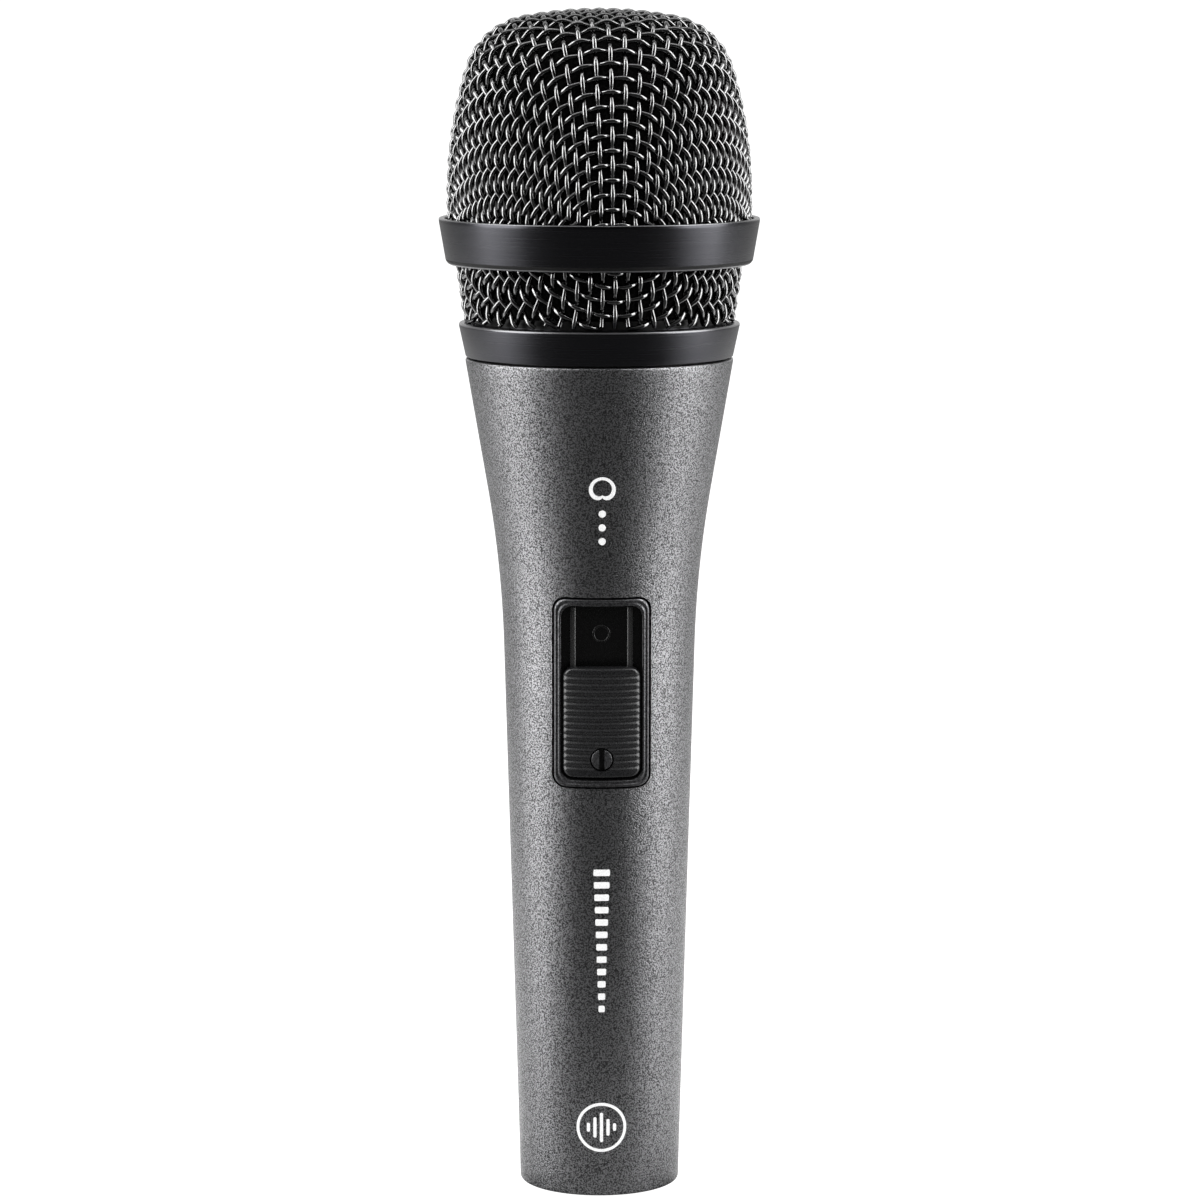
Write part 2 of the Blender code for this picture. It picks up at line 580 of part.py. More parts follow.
def make_capsule():
    bore = CAPSULE_RADIUS - CAPSULE_WALL
    fit = bore - GAP
    housing = [
        (CAPSULE_RADIUS, CAPSULE_TOP),
        (CAPSULE_RADIUS, CAPSULE_BOTTOM),
        (0, CAPSULE_BOTTOM),
        (0, CAPSULE_BOTTOM + CAPSULE_WALL),
        (bore, CAPSULE_BOTTOM + CAPSULE_WALL),
        (bore, CAPSULE_TOP),
    ]
    turned_cup("capsule_housing", housing, BLACK_METAL)

    cap_bottom = CAPSULE_TOP + GAP
    cap = turned(
        "capsule_cap",
        [
            (0, cap_bottom + CAP_HEIGHT),
            (CAPSULE_RADIUS - CAPSULE_WALL, cap_bottom + CAP_HEIGHT),
            (CAPSULE_RADIUS, cap_bottom + CAP_HEIGHT - CAPSULE_WALL),
            (CAPSULE_RADIUS, cap_bottom),
            (0, cap_bottom),
        ],
        BLACK_METAL,
        SMALL_ROUND,
    )
    for hole in range(CAP_HOLES):
        angle = 2 * math.pi * hole / CAP_HOLES + math.pi / SMALL_ROUND
        spot = Vector((math.cos(angle), math.sin(angle), 0)) * bore * 0.62
        spot.z = cap_bottom
        name = f"cap_hole_{hole + 1}"
        cutter = place(
            name,
            rod_mesh(name, CAP_HOLE_RADIUS, 4 * CAP_HEIGHT, segments=12),
            None,
            location=spot,
            collection=CUTTERS,
        )
        combine(cap, cutter, "DIFFERENCE")

    film_top = CAPSULE_TOP - DIAPHRAGM_DEPTH
    film_bottom = film_top - DIAPHRAGM_THICKNESS
    edge = COIL_INNER_RADIUS + COIL_WALL
    turned(
        "diaphragm",
        [
            (0, film_top + DIAPHRAGM_DOME),
            (edge * 0.6, film_top + DIAPHRAGM_DOME * 0.64),
            (edge, film_top),
            (fit, film_top),
            (fit, film_bottom),
            (edge, film_bottom),
            (edge * 0.6, film_bottom + DIAPHRAGM_DOME * 0.64),
            (0, film_bottom + DIAPHRAGM_DOME),
        ],
        FILM,
        SMALL_ROUND,
    )
    coil_top = film_bottom - GAP
    coil_bottom = coil_top - COIL_HEIGHT
    turned(
        "voice_coil",
        ring_outline(COIL_INNER_RADIUS, COIL_INNER_RADIUS + COIL_WALL, coil_bottom, coil_top),
        COPPER,
        SMALL_ROUND,
    )
    pole_radius = COIL_INNER_RADIUS - GAP
    pole_top = coil_top - 2 * GAP
    pole_bottom = pole_top - POLE_HEIGHT
    turned("pole_plate", disc_outline(pole_radius, pole_bottom, pole_top), STEEL, SMALL_ROUND)
    magnet_top = pole_bottom - GAP
    magnet_bottom = magnet_top - MAGNET_HEIGHT
    magnet_radius = pole_radius - GAP
    turned(
        "magnet", disc_outline(magnet_radius, magnet_bottom, magnet_top), MAGNET_METAL, SMALL_ROUND
    )
    floor_top = magnet_bottom - GAP
    floor_bottom = floor_top - YOKE_FLOOR
    yoke_bore = COIL_INNER_RADIUS + COIL_WALL + GAP
    turned_cup(
        "magnet_yoke",
        [
            (fit, pole_top),
            (fit, floor_bottom),
            (0, floor_bottom),
            (0, floor_top),
            (yoke_bore, floor_top),
            (yoke_bore, pole_top),
        ],
        STEEL,
    )
    felt_top = floor_bottom - GAP
    turned(
        "damping_felt",
        ring_outline(FELT_HOLE, fit, felt_top - FELT_HEIGHT, felt_top),
        FELT,
        SMALL_ROUND,
    )

    carrier_bottom = NECK_TOP - CARRIER_HEIGHT
    carrier_inner = CAPSULE_RADIUS + GAP
    carrier_outer = carrier_inner + CARRIER_WALL
    turned(
        "capsule_carrier",
        ring_outline(carrier_inner, carrier_outer, carrier_bottom, NECK_TOP),
        BLACK_PLASTIC,
        SMALL_ROUND,
    )
    mount_inner = carrier_outer + GAP
    mount_outer = NECK_BORE - GAP
    mount_bottom = NECK_TOP - MOUNT_HEIGHT - GAP
    turned(
        "shock_mount",
        [
            (mount_outer, NECK_TOP - GAP),
            (mount_outer, NECK_TOP - MOUNT_HEIGHT / 3),
            ((mount_inner + mount_outer) / 2, NECK_TOP - MOUNT_HEIGHT / 2),
            (mount_outer, NECK_TOP - 2 * MOUNT_HEIGHT / 3),
            (mount_outer, mount_bottom),
            (mount_inner, mount_bottom),
            (mount_inner, NECK_TOP - GAP),
        ],
        RUBBER,
        SMALL_ROUND,
    )
    chamber_top = CAPSULE_BOTTOM - GAP
    chamber_bottom = chamber_top - CHAMBER_LENGTH
    turned_cup(
        "rear_chamber",
        [
            (CHAMBER_RADIUS, chamber_top),
            (CHAMBER_RADIUS, chamber_bottom),
            (0, chamber_bottom),
            (0, chamber_bottom + CHAMBER_WALL),
            (CHAMBER_RADIUS - CHAMBER_WALL, chamber_bottom + CHAMBER_WALL),
            (CHAMBER_RADIUS - CHAMBER_WALL, chamber_top),
        ],
        BLACK_PLASTIC,
    )
    return chamber_bottom


def turned_cup(name, outline, look):
    """A cup: its outline starts at the rim, crosses the axis under the floor, and comes back up."""
    lower = outline[:3]
    upper = outline[3:]
    return turned(name, upper + lower, look, SMALL_ROUND)


# ---------------------------------------------------------------- slide switch


def make_switch(handle):
    """Frame, guide, slider, lock and reed switch, laid out along the handle's sloping face."""
    face = handle_radius(SWITCH_HEIGHT)
    slope = math.atan(HANDLE_LOWER_SLOPE)
    frame = bpy.data.objects.new("switch_frame", None)
    PIECES.objects.link(frame)
    frame.location = (0, -face, SWITCH_HEIGHT)
    frame.rotation_euler = (slope, 0, 0)

    def tool(name, mesh, location=(0, 0, 0)):
        return place(name, mesh, None, frame, location, CUTTERS)

    half = BEZEL_WIDTH / 2 + GAP
    wall_back = face - math.sqrt((face - HANDLE_WALL) ** 2 - half**2) + HANDLE_WALL
    window = Vector((2 * half, 2 * wall_back, BEZEL_LENGTH + 2 * GAP))
    window_cutter = tool("window_cutter", block_mesh("window_cutter", window, BEZEL_CORNER + GAP))
    combine(handle, window_cutter, "DIFFERENCE")

    rim_radius = face + BEZEL_PROUD
    rim_round = tool(
        "rim_round", rod_mesh("rim_round", rim_radius, 2 * BEZEL_LENGTH, segments=64), (0, face, 0)
    )
    outer = Vector((BEZEL_WIDTH, 2 * BEZEL_DEPTH, BEZEL_LENGTH))
    bezel = place(
        "switch_bezel", block_mesh("switch_bezel", outer, BEZEL_CORNER), BLACK_METAL, frame
    )
    combine(bezel, rim_round, "INTERSECT")
    opening = Vector((BEZEL_WIDTH - 2 * BEZEL_RIM, 4 * BEZEL_DEPTH, BEZEL_LENGTH - 2 * BEZEL_RIM))
    opening_corner = SLIDER_CORNER + SLIDER_SIDE_GAP
    opening_cutter = tool("opening_cutter", block_mesh("opening_cutter", opening, opening_corner))
    combine(bezel, opening_cutter, "DIFFERENCE")

    guide_size = Vector((BEZEL_WIDTH, GUIDE_THICKNESS, BEZEL_LENGTH))
    guide = place(
        "switch_guide",
        block_mesh("switch_guide", guide_size, BEZEL_CORNER),
        BLACK_PLASTIC,
        frame,
        (0, GUIDE_DEPTH + GUIDE_THICKNESS / 2, 0),
    )
    rail_front = SLIDER_DEPTH + GAP
    rail_depth = GUIDE_DEPTH + GUIDE_THICKNESS / 2 - rail_front
    rail = Vector((RAIL_WIDTH, rail_depth, opening.z - 2 * GAP))
    for side in (-1, 1):
        name = f"rail_{'left' if side < 0 else 'right'}"
        spot = (side * RAIL_SPACING / 2, rail_front + rail_depth / 2, 0)
        combine(guide, tool(name, block_mesh(name, rail), spot), "UNION")
    post_spot = BEZEL_LENGTH / 2 - POST_FROM_END
    post_length = POST_HEIGHT + GUIDE_THICKNESS / 2
    for side, name in ((-1, "lower"), (1, "upper")):
        post = rod_mesh(f"post_{name}", POST_RADIUS, post_length, "Y")
        spot = (0, POST_END - post_length / 2, side * post_spot)
        combine(guide, tool(f"post_{name}", post, spot), "UNION")
        hole = rod_mesh(f"post_hole_{name}", SCREW_RADIUS + GAP, 2 * POST_HEIGHT, "Y", 12)
        spot = (0, GUIDE_BACK + POST_HEIGHT, side * post_spot)
        combine(guide, tool(f"post_hole_{name}", hole, spot), "DIFFERENCE")

    board_size = Vector((BOARD_WIDTH, BOARD_THICKNESS, BOARD_LENGTH))
    board_centre = BOARD_DEPTH + BOARD_THICKNESS / 2
    board = place(
        "switch_board",
        block_mesh("switch_board", board_size),
        GREEN_BOARD,
        frame,
        (0, board_centre, 0),
    )
    head_front = BOARD_DEPTH + BOARD_THICKNESS + GAP
    shank_tip = GUIDE_BACK + GAP
    for side, name in ((-1, "lower"), (1, "upper")):
        spot = (0, board_centre, side * post_spot)
        hole = rod_mesh(f"board_hole_{name}", SCREW_RADIUS + GAP, 4 * BOARD_THICKNESS, "Y", 12)
        combine(board, tool(f"board_hole_{name}", hole, spot), "DIFFERENCE")
        screw = turned(
            f"board_screw_{name}",
            [
                (0, SCREW_HEAD_HEIGHT),
                (SCREW_HEAD_RADIUS, SCREW_HEAD_HEIGHT),
                (SCREW_HEAD_RADIUS, 0),
                (SCREW_RADIUS, 0),
                (SCREW_RADIUS, shank_tip - head_front),
                (0, shank_tip - head_front),
            ],
            STEEL,
            12,
        )
        screw.parent = frame
        screw.location = (0, head_front, side * post_spot)
        screw.rotation_euler = (-math.pi / 2, 0, 0)
    place(
        "reed_switch",
        rod_mesh("reed_switch", REED_RADIUS, REED_LENGTH, segments=12),
        GLASS,
        frame,
        (0, (GUIDE_BACK + BOARD_DEPTH) / 2, 0),
    )

    make_slider(frame, tool, face)
    lay_switch_leads(frame, board_centre)
    return frame


def make_slider(frame, tool, face):
    width = BEZEL_WIDTH - 2 * BEZEL_RIM - 2 * SLIDER_SIDE_GAP
    centre = (0, 0, SLIDER_REST)
    size = Vector((width, 2 * SLIDER_DEPTH, SLIDER_LENGTH))
    slider = place(
        "switch_slider",
        block_mesh("switch_slider", size, SLIDER_CORNER),
        BLACK_PLASTIC,
        frame,
        centre,
    )
    rounding = rod_mesh("slider_round", face + SLIDER_PROUD, 2 * SLIDER_LENGTH, segments=64)
    combine(slider, tool("slider_round", rounding, (0, face, SLIDER_REST)), "INTERSECT")

    lock_height = SLIDER_REST - SLIDER_LENGTH / 2 + LOCK_FROM_END
    hole = rod_mesh("lock_hole", LOCK_RADIUS + GAP, 4 * SLIDER_DEPTH, "Y")
    combine(slider, tool("lock_hole", hole, (0, 0, lock_height)), "DIFFERENCE")
    length = SLIDER_DEPTH + SLIDER_PROUD
    lock = place(
        "slider_lock_screw",
        rod_mesh("slider_lock_screw", LOCK_RADIUS, length, "Y"),
        BLACK_METAL,
        frame,
        (0, SLIDER_DEPTH - length / 2, lock_height),
    )
    slot_size = Vector((LOCK_SLOT_WIDTH, 2 * LOCK_SLOT_DEPTH, 4 * LOCK_RADIUS))
    slot = block_mesh("lock_slot", slot_size)
    combine(lock, tool("lock_slot", slot, (0, -SLIDER_PROUD, lock_height)), "DIFFERENCE")

    magnet_centre = SLIDER_REST + SLIDER_LENGTH / 4
    pocket_size = SLIDER_MAGNET + Vector((2 * GAP, 2 * GAP, 2 * GAP))
    pocket = block_mesh("magnet_pocket", pocket_size)
    depth = SLIDER_DEPTH - SLIDER_MAGNET.y / 2
    combine(slider, tool("magnet_pocket", pocket, (0, depth, magnet_centre)), "DIFFERENCE")
    place(
        "slider_magnet",
        block_mesh("slider_magnet", SLIDER_MAGNET),
        MAGNET_METAL,
        frame,
        (0, depth, magnet_centre),
    )


# ---------------------------------------------------------------- leads and transformer


def lay_switch_leads(frame, board_centre):
    """Two leads down from the capsule, one cable to the transformer and one on to the pins."""
    slope = frame.rotation_euler.x
    across = Matrix.Rotation(slope, 3, "X")
    frame_at = Vector(frame.location)
    board_top = frame_at + across @ Vector((0, board_centre, BOARD_LENGTH / 2 + GAP))
    board_bottom = frame_at + across @ Vector((0, board_centre, -BOARD_LENGTH / 2 - GAP))
    chamber_bottom = CAPSULE_BOTTOM - 2 * GAP - CHAMBER_LENGTH
    down = (0, 0, -1)
    for side, name, look in ((-1, "lead_hot", RED_WIRE), (1, "lead_cold", WHITE_WIRE)):
        x = side * LEAD_SPACING / 2
        end = (x, board_top.y, board_top.z + LEAD_RADIUS)
        wire(name, (x, 0, chamber_bottom - GAP), end, down, down, LEAD_RADIUS, look)
    transformer_top = TRANSFORMER_BOTTOM + TRANSFORMER_LENGTH
    start = (0, board_bottom.y, board_bottom.z - CABLE_RADIUS / 2)
    wire("board_lead", start, (0, 0, transformer_top + GAP), down, down, CABLE_RADIUS, RUBBER)
    place(
        "transformer",
        rod_mesh("transformer", TRANSFORMER_RADIUS, TRANSFORMER_LENGTH),
        STEEL,
        location=(0, 0, TRANSFORMER_BOTTOM + TRANSFORMER_LENGTH / 2),
    )
    pins_end = INSERT_TOP + PIN_TAIL
    wire(
        "connector_lead",
        (0, 0, TRANSFORMER_BOTTOM - GAP),
        (0, -PIN_SIDE, pins_end + GAP),
        down,
        down,
        CABLE_RADIUS / 2,
        RUBBER,
    )


# ---------------------------------------------------------------- assembly


body = make_handle()
make_switch(body)
cut_keyway(body)
cut_set_screw_hole(body, SOCKET_DEPTH + INSERT_HEIGHT / 2)
make_connector()
make_capsule()
make_collar()
make_band()
make_ring()
make_foam()
make_dome()
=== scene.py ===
# %% [markdown]
# # A handheld dynamic microphone
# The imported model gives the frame: every part at its real size, in metres, standing on its
# connector end with the switch towards -Y. This script dresses that frame. It weaves the head
# from single wires, turns the metal parts finely, and gives each surface a worked finish.

# %% Load the frame
import math

import bmesh
import bpy
import numpy as np
from mathutils import Matrix, Vector


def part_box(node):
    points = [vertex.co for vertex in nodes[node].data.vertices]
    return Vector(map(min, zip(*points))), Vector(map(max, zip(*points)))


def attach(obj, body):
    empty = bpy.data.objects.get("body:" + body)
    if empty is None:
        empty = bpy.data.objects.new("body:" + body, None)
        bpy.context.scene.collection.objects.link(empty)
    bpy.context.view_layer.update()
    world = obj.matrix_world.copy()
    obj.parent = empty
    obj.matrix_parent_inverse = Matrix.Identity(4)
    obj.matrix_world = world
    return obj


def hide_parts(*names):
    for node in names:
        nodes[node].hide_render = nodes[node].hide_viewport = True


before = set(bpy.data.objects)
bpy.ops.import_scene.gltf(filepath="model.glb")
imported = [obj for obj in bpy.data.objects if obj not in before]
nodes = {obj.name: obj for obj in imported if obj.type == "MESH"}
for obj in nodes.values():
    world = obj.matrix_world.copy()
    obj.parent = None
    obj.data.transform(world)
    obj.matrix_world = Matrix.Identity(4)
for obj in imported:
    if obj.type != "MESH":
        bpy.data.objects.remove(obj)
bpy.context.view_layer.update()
MM = 0.001

# %% [markdown]
# The sizes below are the frame's own, read from its boxes where a box gives them. The handle is
# two cones joined by a curve, so one function gives its radius at any height, and the switch
# sits in a frame of its own that leans with the lower cone.

# %% Sizes that the pieces share
low_dome, high_dome = (Vector(corner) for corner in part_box("grille_dome"))
low_ring, high_ring = (Vector(corner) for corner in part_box("grille_ring"))
low_band, high_band = (Vector(corner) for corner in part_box("grille_band"))
low_collar, high_collar = (Vector(corner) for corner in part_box("grille_collar"))

TOP = high_dome.z
DOME_RADIUS = high_dome.x
RING_TOP = high_ring.z
RING_BOTTOM = low_ring.z
RING_RADIUS = high_ring.x
GAP = 0.3 * MM
WIRE = 0.36 * MM
PITCH = 2.15 * MM
HANDLE_LENGTH = 127.4 * MM
BASE_RADIUS = 12.2 * MM
LOWER_SLOPE = 0.0283
UPPER_SLOPE = 0.172
CORNER = HANDLE_LENGTH - 31.7 * MM
CURVE = 12.0 * MM
WALL = 2.4 * MM
SWITCH_HEIGHT = CORNER - 17.7 * MM


def handle_radius(height):
    """The handle's radius: a slim cone below, a steeper one above and a curve between."""
    past = height - CORNER
    radius = BASE_RADIUS + LOWER_SLOPE * height
    if past > CURVE:
        return radius + (UPPER_SLOPE - LOWER_SLOPE) * past
    if past > -CURVE:
        return radius + (UPPER_SLOPE - LOWER_SLOPE) * (past + CURVE) ** 2 / (4 * CURVE)
    return radius


FACE = handle_radius(SWITCH_HEIGHT)
SWITCH = Matrix.Translation((0, -FACE, SWITCH_HEIGHT)) @ Matrix.Rotation(
    math.atan(LOWER_SLOPE), 4, "X"
)
print("handle face at the switch, mm from the axis:", round(FACE / MM, 3))

# %% [markdown]
# ## Camera
# A long lens from 0.7 m, a little above the head and tipped down, shows the rings as shallow
# smiles. Nothing is shifted, and depth of field stays off, so every other view is as sharp.

# %% Camera


def placed(name, data):
    """A new object in the scene, at the origin and unturned."""
    made = bpy.data.objects.new(name, data)
    bpy.context.scene.collection.objects.link(made)
    return made


CAMERA_DISTANCE = 0.700
CAMERA_HEIGHT = 0.186
CAMERA_TILT = math.radians(7.79)
CAMERA_ROUND = math.radians(-1.5)
SENSOR_MM = 36.0
FOCAL_MM = 138.8
lens = bpy.data.cameras.new("studio_camera")
lens.sensor_width = SENSOR_MM
lens.lens = FOCAL_MM
camera = placed("studio_camera", lens)
straight_back = Vector((0.0001, -CAMERA_DISTANCE, CAMERA_HEIGHT))
camera.location = Matrix.Rotation(CAMERA_ROUND, 3, "Z") @ straight_back
camera.rotation_euler = (math.pi / 2 - CAMERA_TILT, 0, CAMERA_ROUND)
bpy.context.scene.camera = camera
print("camera at", [round(v, 4) for v in camera.location])

# %% [markdown]
# ## Studio
# Two tall softboxes stand square to the sides, which leaves the middle of every turned surface
# dark and lights its flanks. A smaller one overhead picks out the tops of the wires. The room
# is white to the eye, and dim in front of the microphone to anything that mirrors it.

# %% Lights


def softbox(name, place, aim, width, height, power):
    light = bpy.data.lights.new(name, "AREA")
    light.shape = "RECTANGLE"
    light.size = width
    light.size_y = height
    light.energy = power
    lamp = placed(name, light)
    lamp.location = place
    lamp.rotation_euler = (Vector(aim) - Vector(place)).to_track_quat("-Z", "Y").to_euler()
    return lamp


MIDDLE = Vector((0, 0, 0.11))
SIDE_WATTS = 6.2
OVERHEAD_WATTS = 0.62
FILL_WATTS = 1.3
for side, name in ((-1, "left_softbox"), (1, "right_softbox")):
    softbox(name, (0.50 * side, -0.11, 0.31), MIDDLE, 0.42, 0.72, SIDE_WATTS)
softbox("overhead_softbox", (0, -0.03, 0.62), (0, 0, 0.16), 0.50, 0.18, OVERHEAD_WATTS)
fill = softbox("matte_fill", (0, -0.5, 0.25), MIDDLE, 0.3, 0.3, FILL_WATTS)
fill.visible_glossy = False
print("lights:", len(bpy.data.lights))

# %% [markdown]
# The room and the paper floor each have two faces. The camera sees plain white. The microphone
# mirrors something else: dark in front, so that its middle stays dark, grey overhead and white
# behind, which draws the bright rims. A Light Path node tells the two apart.

# %% Helpers for shader nodes


def add_node(tree, kind):
    return tree.nodes.new("ShaderNode" + kind)


def arithmetic(tree, operation, first, second=None):
    """A maths node. Its second value is a socket, a number or nothing."""
    sum_node = add_node(tree, "Math")
    sum_node.operation = operation
    tree.links.new(first, sum_node.inputs[0])
    if isinstance(second, float):
        sum_node.inputs[1].default_value = second
    elif second is not None:
        tree.links.new(second, sum_node.inputs[1])
    return sum_node.outputs[0]


def remap(tree, value, from_low, from_high, to_low, to_high):
    """A value stretched from one range to another, and held at its ends."""
    stretch = add_node(tree, "MapRange")
    labels = ("From Min", "From Max", "To Min", "To Max")
    for label, number in zip(labels, (from_low, from_high, to_low, to_high)):
        stretch.inputs[label].default_value = number
    tree.links.new(value, stretch.inputs["Value"])
    return stretch.outputs["Result"]


def two_faced(tree, mirrored, seen, output):
    """Gives the camera one shader and every other ray the other."""
    choose = add_node(tree, "MixShader")
    tree.links.new(add_node(tree, "LightPath").outputs["Is Camera Ray"], choose.inputs["Fac"])
    tree.links.new(mirrored.outputs[0], choose.inputs[1])
    tree.links.new(seen.outputs[0], choose.inputs[2])
    tree.links.new(choose.outputs[0], add_node(tree, output).inputs["Surface"])


# %% World
ROOM_WHITE = 1.1
FRONT_DARK = 0.008
BACK_WHITE = 1.15
ZENITH_SHARE = 0.56
world = bpy.data.worlds.new("studio")
bpy.context.scene.world = world
world.use_nodes = True
tree = world.node_tree
tree.nodes.clear()
seen = add_node(tree, "Background")
seen.inputs["Color"].default_value = (1, 1, 1, 1)
seen.inputs["Strength"].default_value = ROOM_WHITE
mirrored = add_node(tree, "Background")
split = add_node(tree, "SeparateXYZ")
tree.links.new(add_node(tree, "TexCoord").outputs["Generated"], split.inputs[0])
overhead = arithmetic(tree, "MULTIPLY", split.outputs["Z"], ZENITH_SHARE)
further = arithmetic(tree, "MAXIMUM", split.outputs["Y"], overhead)
brightness = remap(tree, further, 0.15, 0.95, FRONT_DARK, BACK_WHITE)
tree.links.new(brightness, mirrored.inputs["Strength"])
two_faced(tree, mirrored, seen, "OutputWorld")
print("world nodes:", len(tree.nodes))

# %% [markdown]
# What the floor throws back is dark towards the camera and bright to the sides and behind, with
# a small paler patch round the foot. The share of X and Y in each spot's direction gives that.

# %% Floor


def mesh_from(name, sketch, outwards=True):
    """Ends a bmesh as a mesh, with its faces pointing outwards unless told not to."""
    if outwards:
        bmesh.ops.recalc_face_normals(sketch, faces=sketch.faces)
    mesh = bpy.data.meshes.new(name)
    sketch.to_mesh(mesh)
    sketch.free()
    return mesh


PAPER_WHITE = 1.05
PAPER_GREY = 0.30
JUST_BELOW = 0.2 * MM
sketch = bmesh.new()
bmesh.ops.create_grid(sketch, x_segments=1, y_segments=1, size=4.0)
floor = placed("studio_floor", mesh_from("studio_floor", sketch, outwards=False))
floor.location.z = -JUST_BELOW
paper = bpy.data.materials.new("white_paper")
paper.use_nodes = True
tree = paper.node_tree
tree.nodes.clear()
glow = add_node(tree, "Emission")
glow.inputs["Strength"].default_value = PAPER_WHITE
sheet = add_node(tree, "BsdfDiffuse")
sheet.inputs["Color"].default_value = (PAPER_GREY, PAPER_GREY, PAPER_GREY, 1)
seen = add_node(tree, "AddShader")
tree.links.new(glow.outputs[0], seen.inputs[0])
tree.links.new(sheet.outputs[0], seen.inputs[1])
spot = add_node(tree, "TexCoord").outputs["Object"]
axes = add_node(tree, "SeparateXYZ")
tree.links.new(spot, axes.inputs[0])
aside = arithmetic(tree, "ABSOLUTE", axes.outputs["X"])
along = arithmetic(tree, "ABSOLUTE", axes.outputs["Y"])
sideways = arithmetic(tree, "ADD", aside, axes.outputs["Y"])
share = arithmetic(tree, "DIVIDE", sideways, arithmetic(tree, "ADD", aside, along))
from_middle = add_node(tree, "VectorMath")
from_middle.operation = "LENGTH"
tree.links.new(spot, from_middle.inputs[0])
beside = remap(tree, share, 0.2, 0.9, 0.05, 0.8)
around = remap(tree, from_middle.outputs["Value"], 0.05, 0.10, 0.25, 0.05)
mirrored = add_node(tree, "BsdfDiffuse")
tree.links.new(arithmetic(tree, "MAXIMUM", beside, around), mirrored.inputs["Color"])
two_faced(tree, mirrored, seen, "OutputMaterial")
floor.data.materials.append(paper)
bpy.context.scene.view_settings.view_transform = "Standard"
print("floor nodes:", len(tree.nodes))

# %% [markdown]
# ## Finishes
# Two effects serve many materials, so each is a node group built once. Grain gives a fine
# speckle as a mask and as a height. Turning gives the faint circular lines that a lathe leaves,
# which run round the axis, so they depend on height and a little on noise.

# %% Node groups


def group(name, per_metre):
    """An empty effect with one input, how many marks there are in a metre."""
    made = bpy.data.node_groups.new(name, "ShaderNodeTree")
    inlet = made.interface.new_socket(
        name="Per Metre", in_out="INPUT", socket_type="NodeSocketFloat"
    )
    inlet.default_value = per_metre
    for label in ("Mask", "Height"):
        made.interface.new_socket(name=label, in_out="OUTPUT", socket_type="NodeSocketFloat")
    return made, made.nodes.new("NodeGroupInput"), made.nodes.new("NodeGroupOutput")


def pattern(tree, enter, leave, place_at, roughness, low, high):
    """Noise at a place, put out as it is for the height and sharpened for the mask."""
    noise = add_node(tree, "TexNoise")
    noise.inputs["Detail"].default_value = 3.0
    noise.inputs["Roughness"].default_value = roughness
    tree.links.new(place_at, noise.inputs["Vector"])
    tree.links.new(enter.outputs["Per Metre"], noise.inputs["Scale"])
    tree.links.new(remap(tree, noise.outputs["Fac"], low, high, 0, 1), leave.inputs["Mask"])
    tree.links.new(noise.outputs["Fac"], leave.inputs["Height"])


grain_group, enter, leave = group("fine_grain", 3000.0)
place_on = add_node(grain_group, "TexCoord").outputs["Object"]
pattern(grain_group, enter, leave, place_on, 0.6, 0.44, 0.56)

turning_group, enter, leave = group("turning_lines", 4000.0)
squeeze = add_node(turning_group, "Mapping")
squeeze.inputs["Scale"].default_value = (0.01, 0.01, 1.0)
place_on = add_node(turning_group, "TexCoord").outputs["Object"]
turning_group.links.new(place_on, squeeze.inputs["Vector"])
pattern(turning_group, enter, leave, squeeze.outputs["Vector"], 0.7, 0.3, 0.7)
print("effects:", [made.name for made in bpy.data.node_groups])

# %% [markdown]
# Every finish is one Principled shader, whose colour and roughness run between two values as
# the effect's mask says, and whose relief follows the effect's height.

# %% Finish maker


def finish(
    name,
    dark,
    light,
    metallic,
    rough,
    effect=grain_group,
    per_metre=3000.0,
    bump=0.1,
    depth=0.05 * MM,
    gleam=0.5,
):
    """A Principled finish whose colour, roughness and relief all follow one effect."""
    made = bpy.data.materials.new(name)
    made.use_nodes = True
    tree = made.node_tree
    shader = tree.nodes["Principled BSDF"]
    shader.inputs["Metallic"].default_value = metallic
    shader.inputs["Specular IOR Level"].default_value = gleam
    marks = add_node(tree, "Group")
    marks.node_tree = effect
    marks.inputs["Per Metre"].default_value = per_metre
    colour = add_node(tree, "Mix")
    colour.data_type = "RGBA"
    colour.inputs["A"].default_value = (*dark, 1)
    colour.inputs["B"].default_value = (*light, 1)
    tree.links.new(marks.outputs["Mask"], colour.inputs["Factor"])
    tree.links.new(colour.outputs["Result"], shader.inputs["Base Color"])
    tree.links.new(remap(tree, marks.outputs["Mask"], 0, 1, *rough), shader.inputs["Roughness"])
    relief = add_node(tree, "Bump")
    relief.inputs["Strength"].default_value = bump
    relief.inputs["Distance"].default_value = depth
    tree.links.new(marks.outputs["Height"], relief.inputs["Height"])
    tree.links.new(relief.outputs["Normal"], shader.inputs["Normal"])
    return made


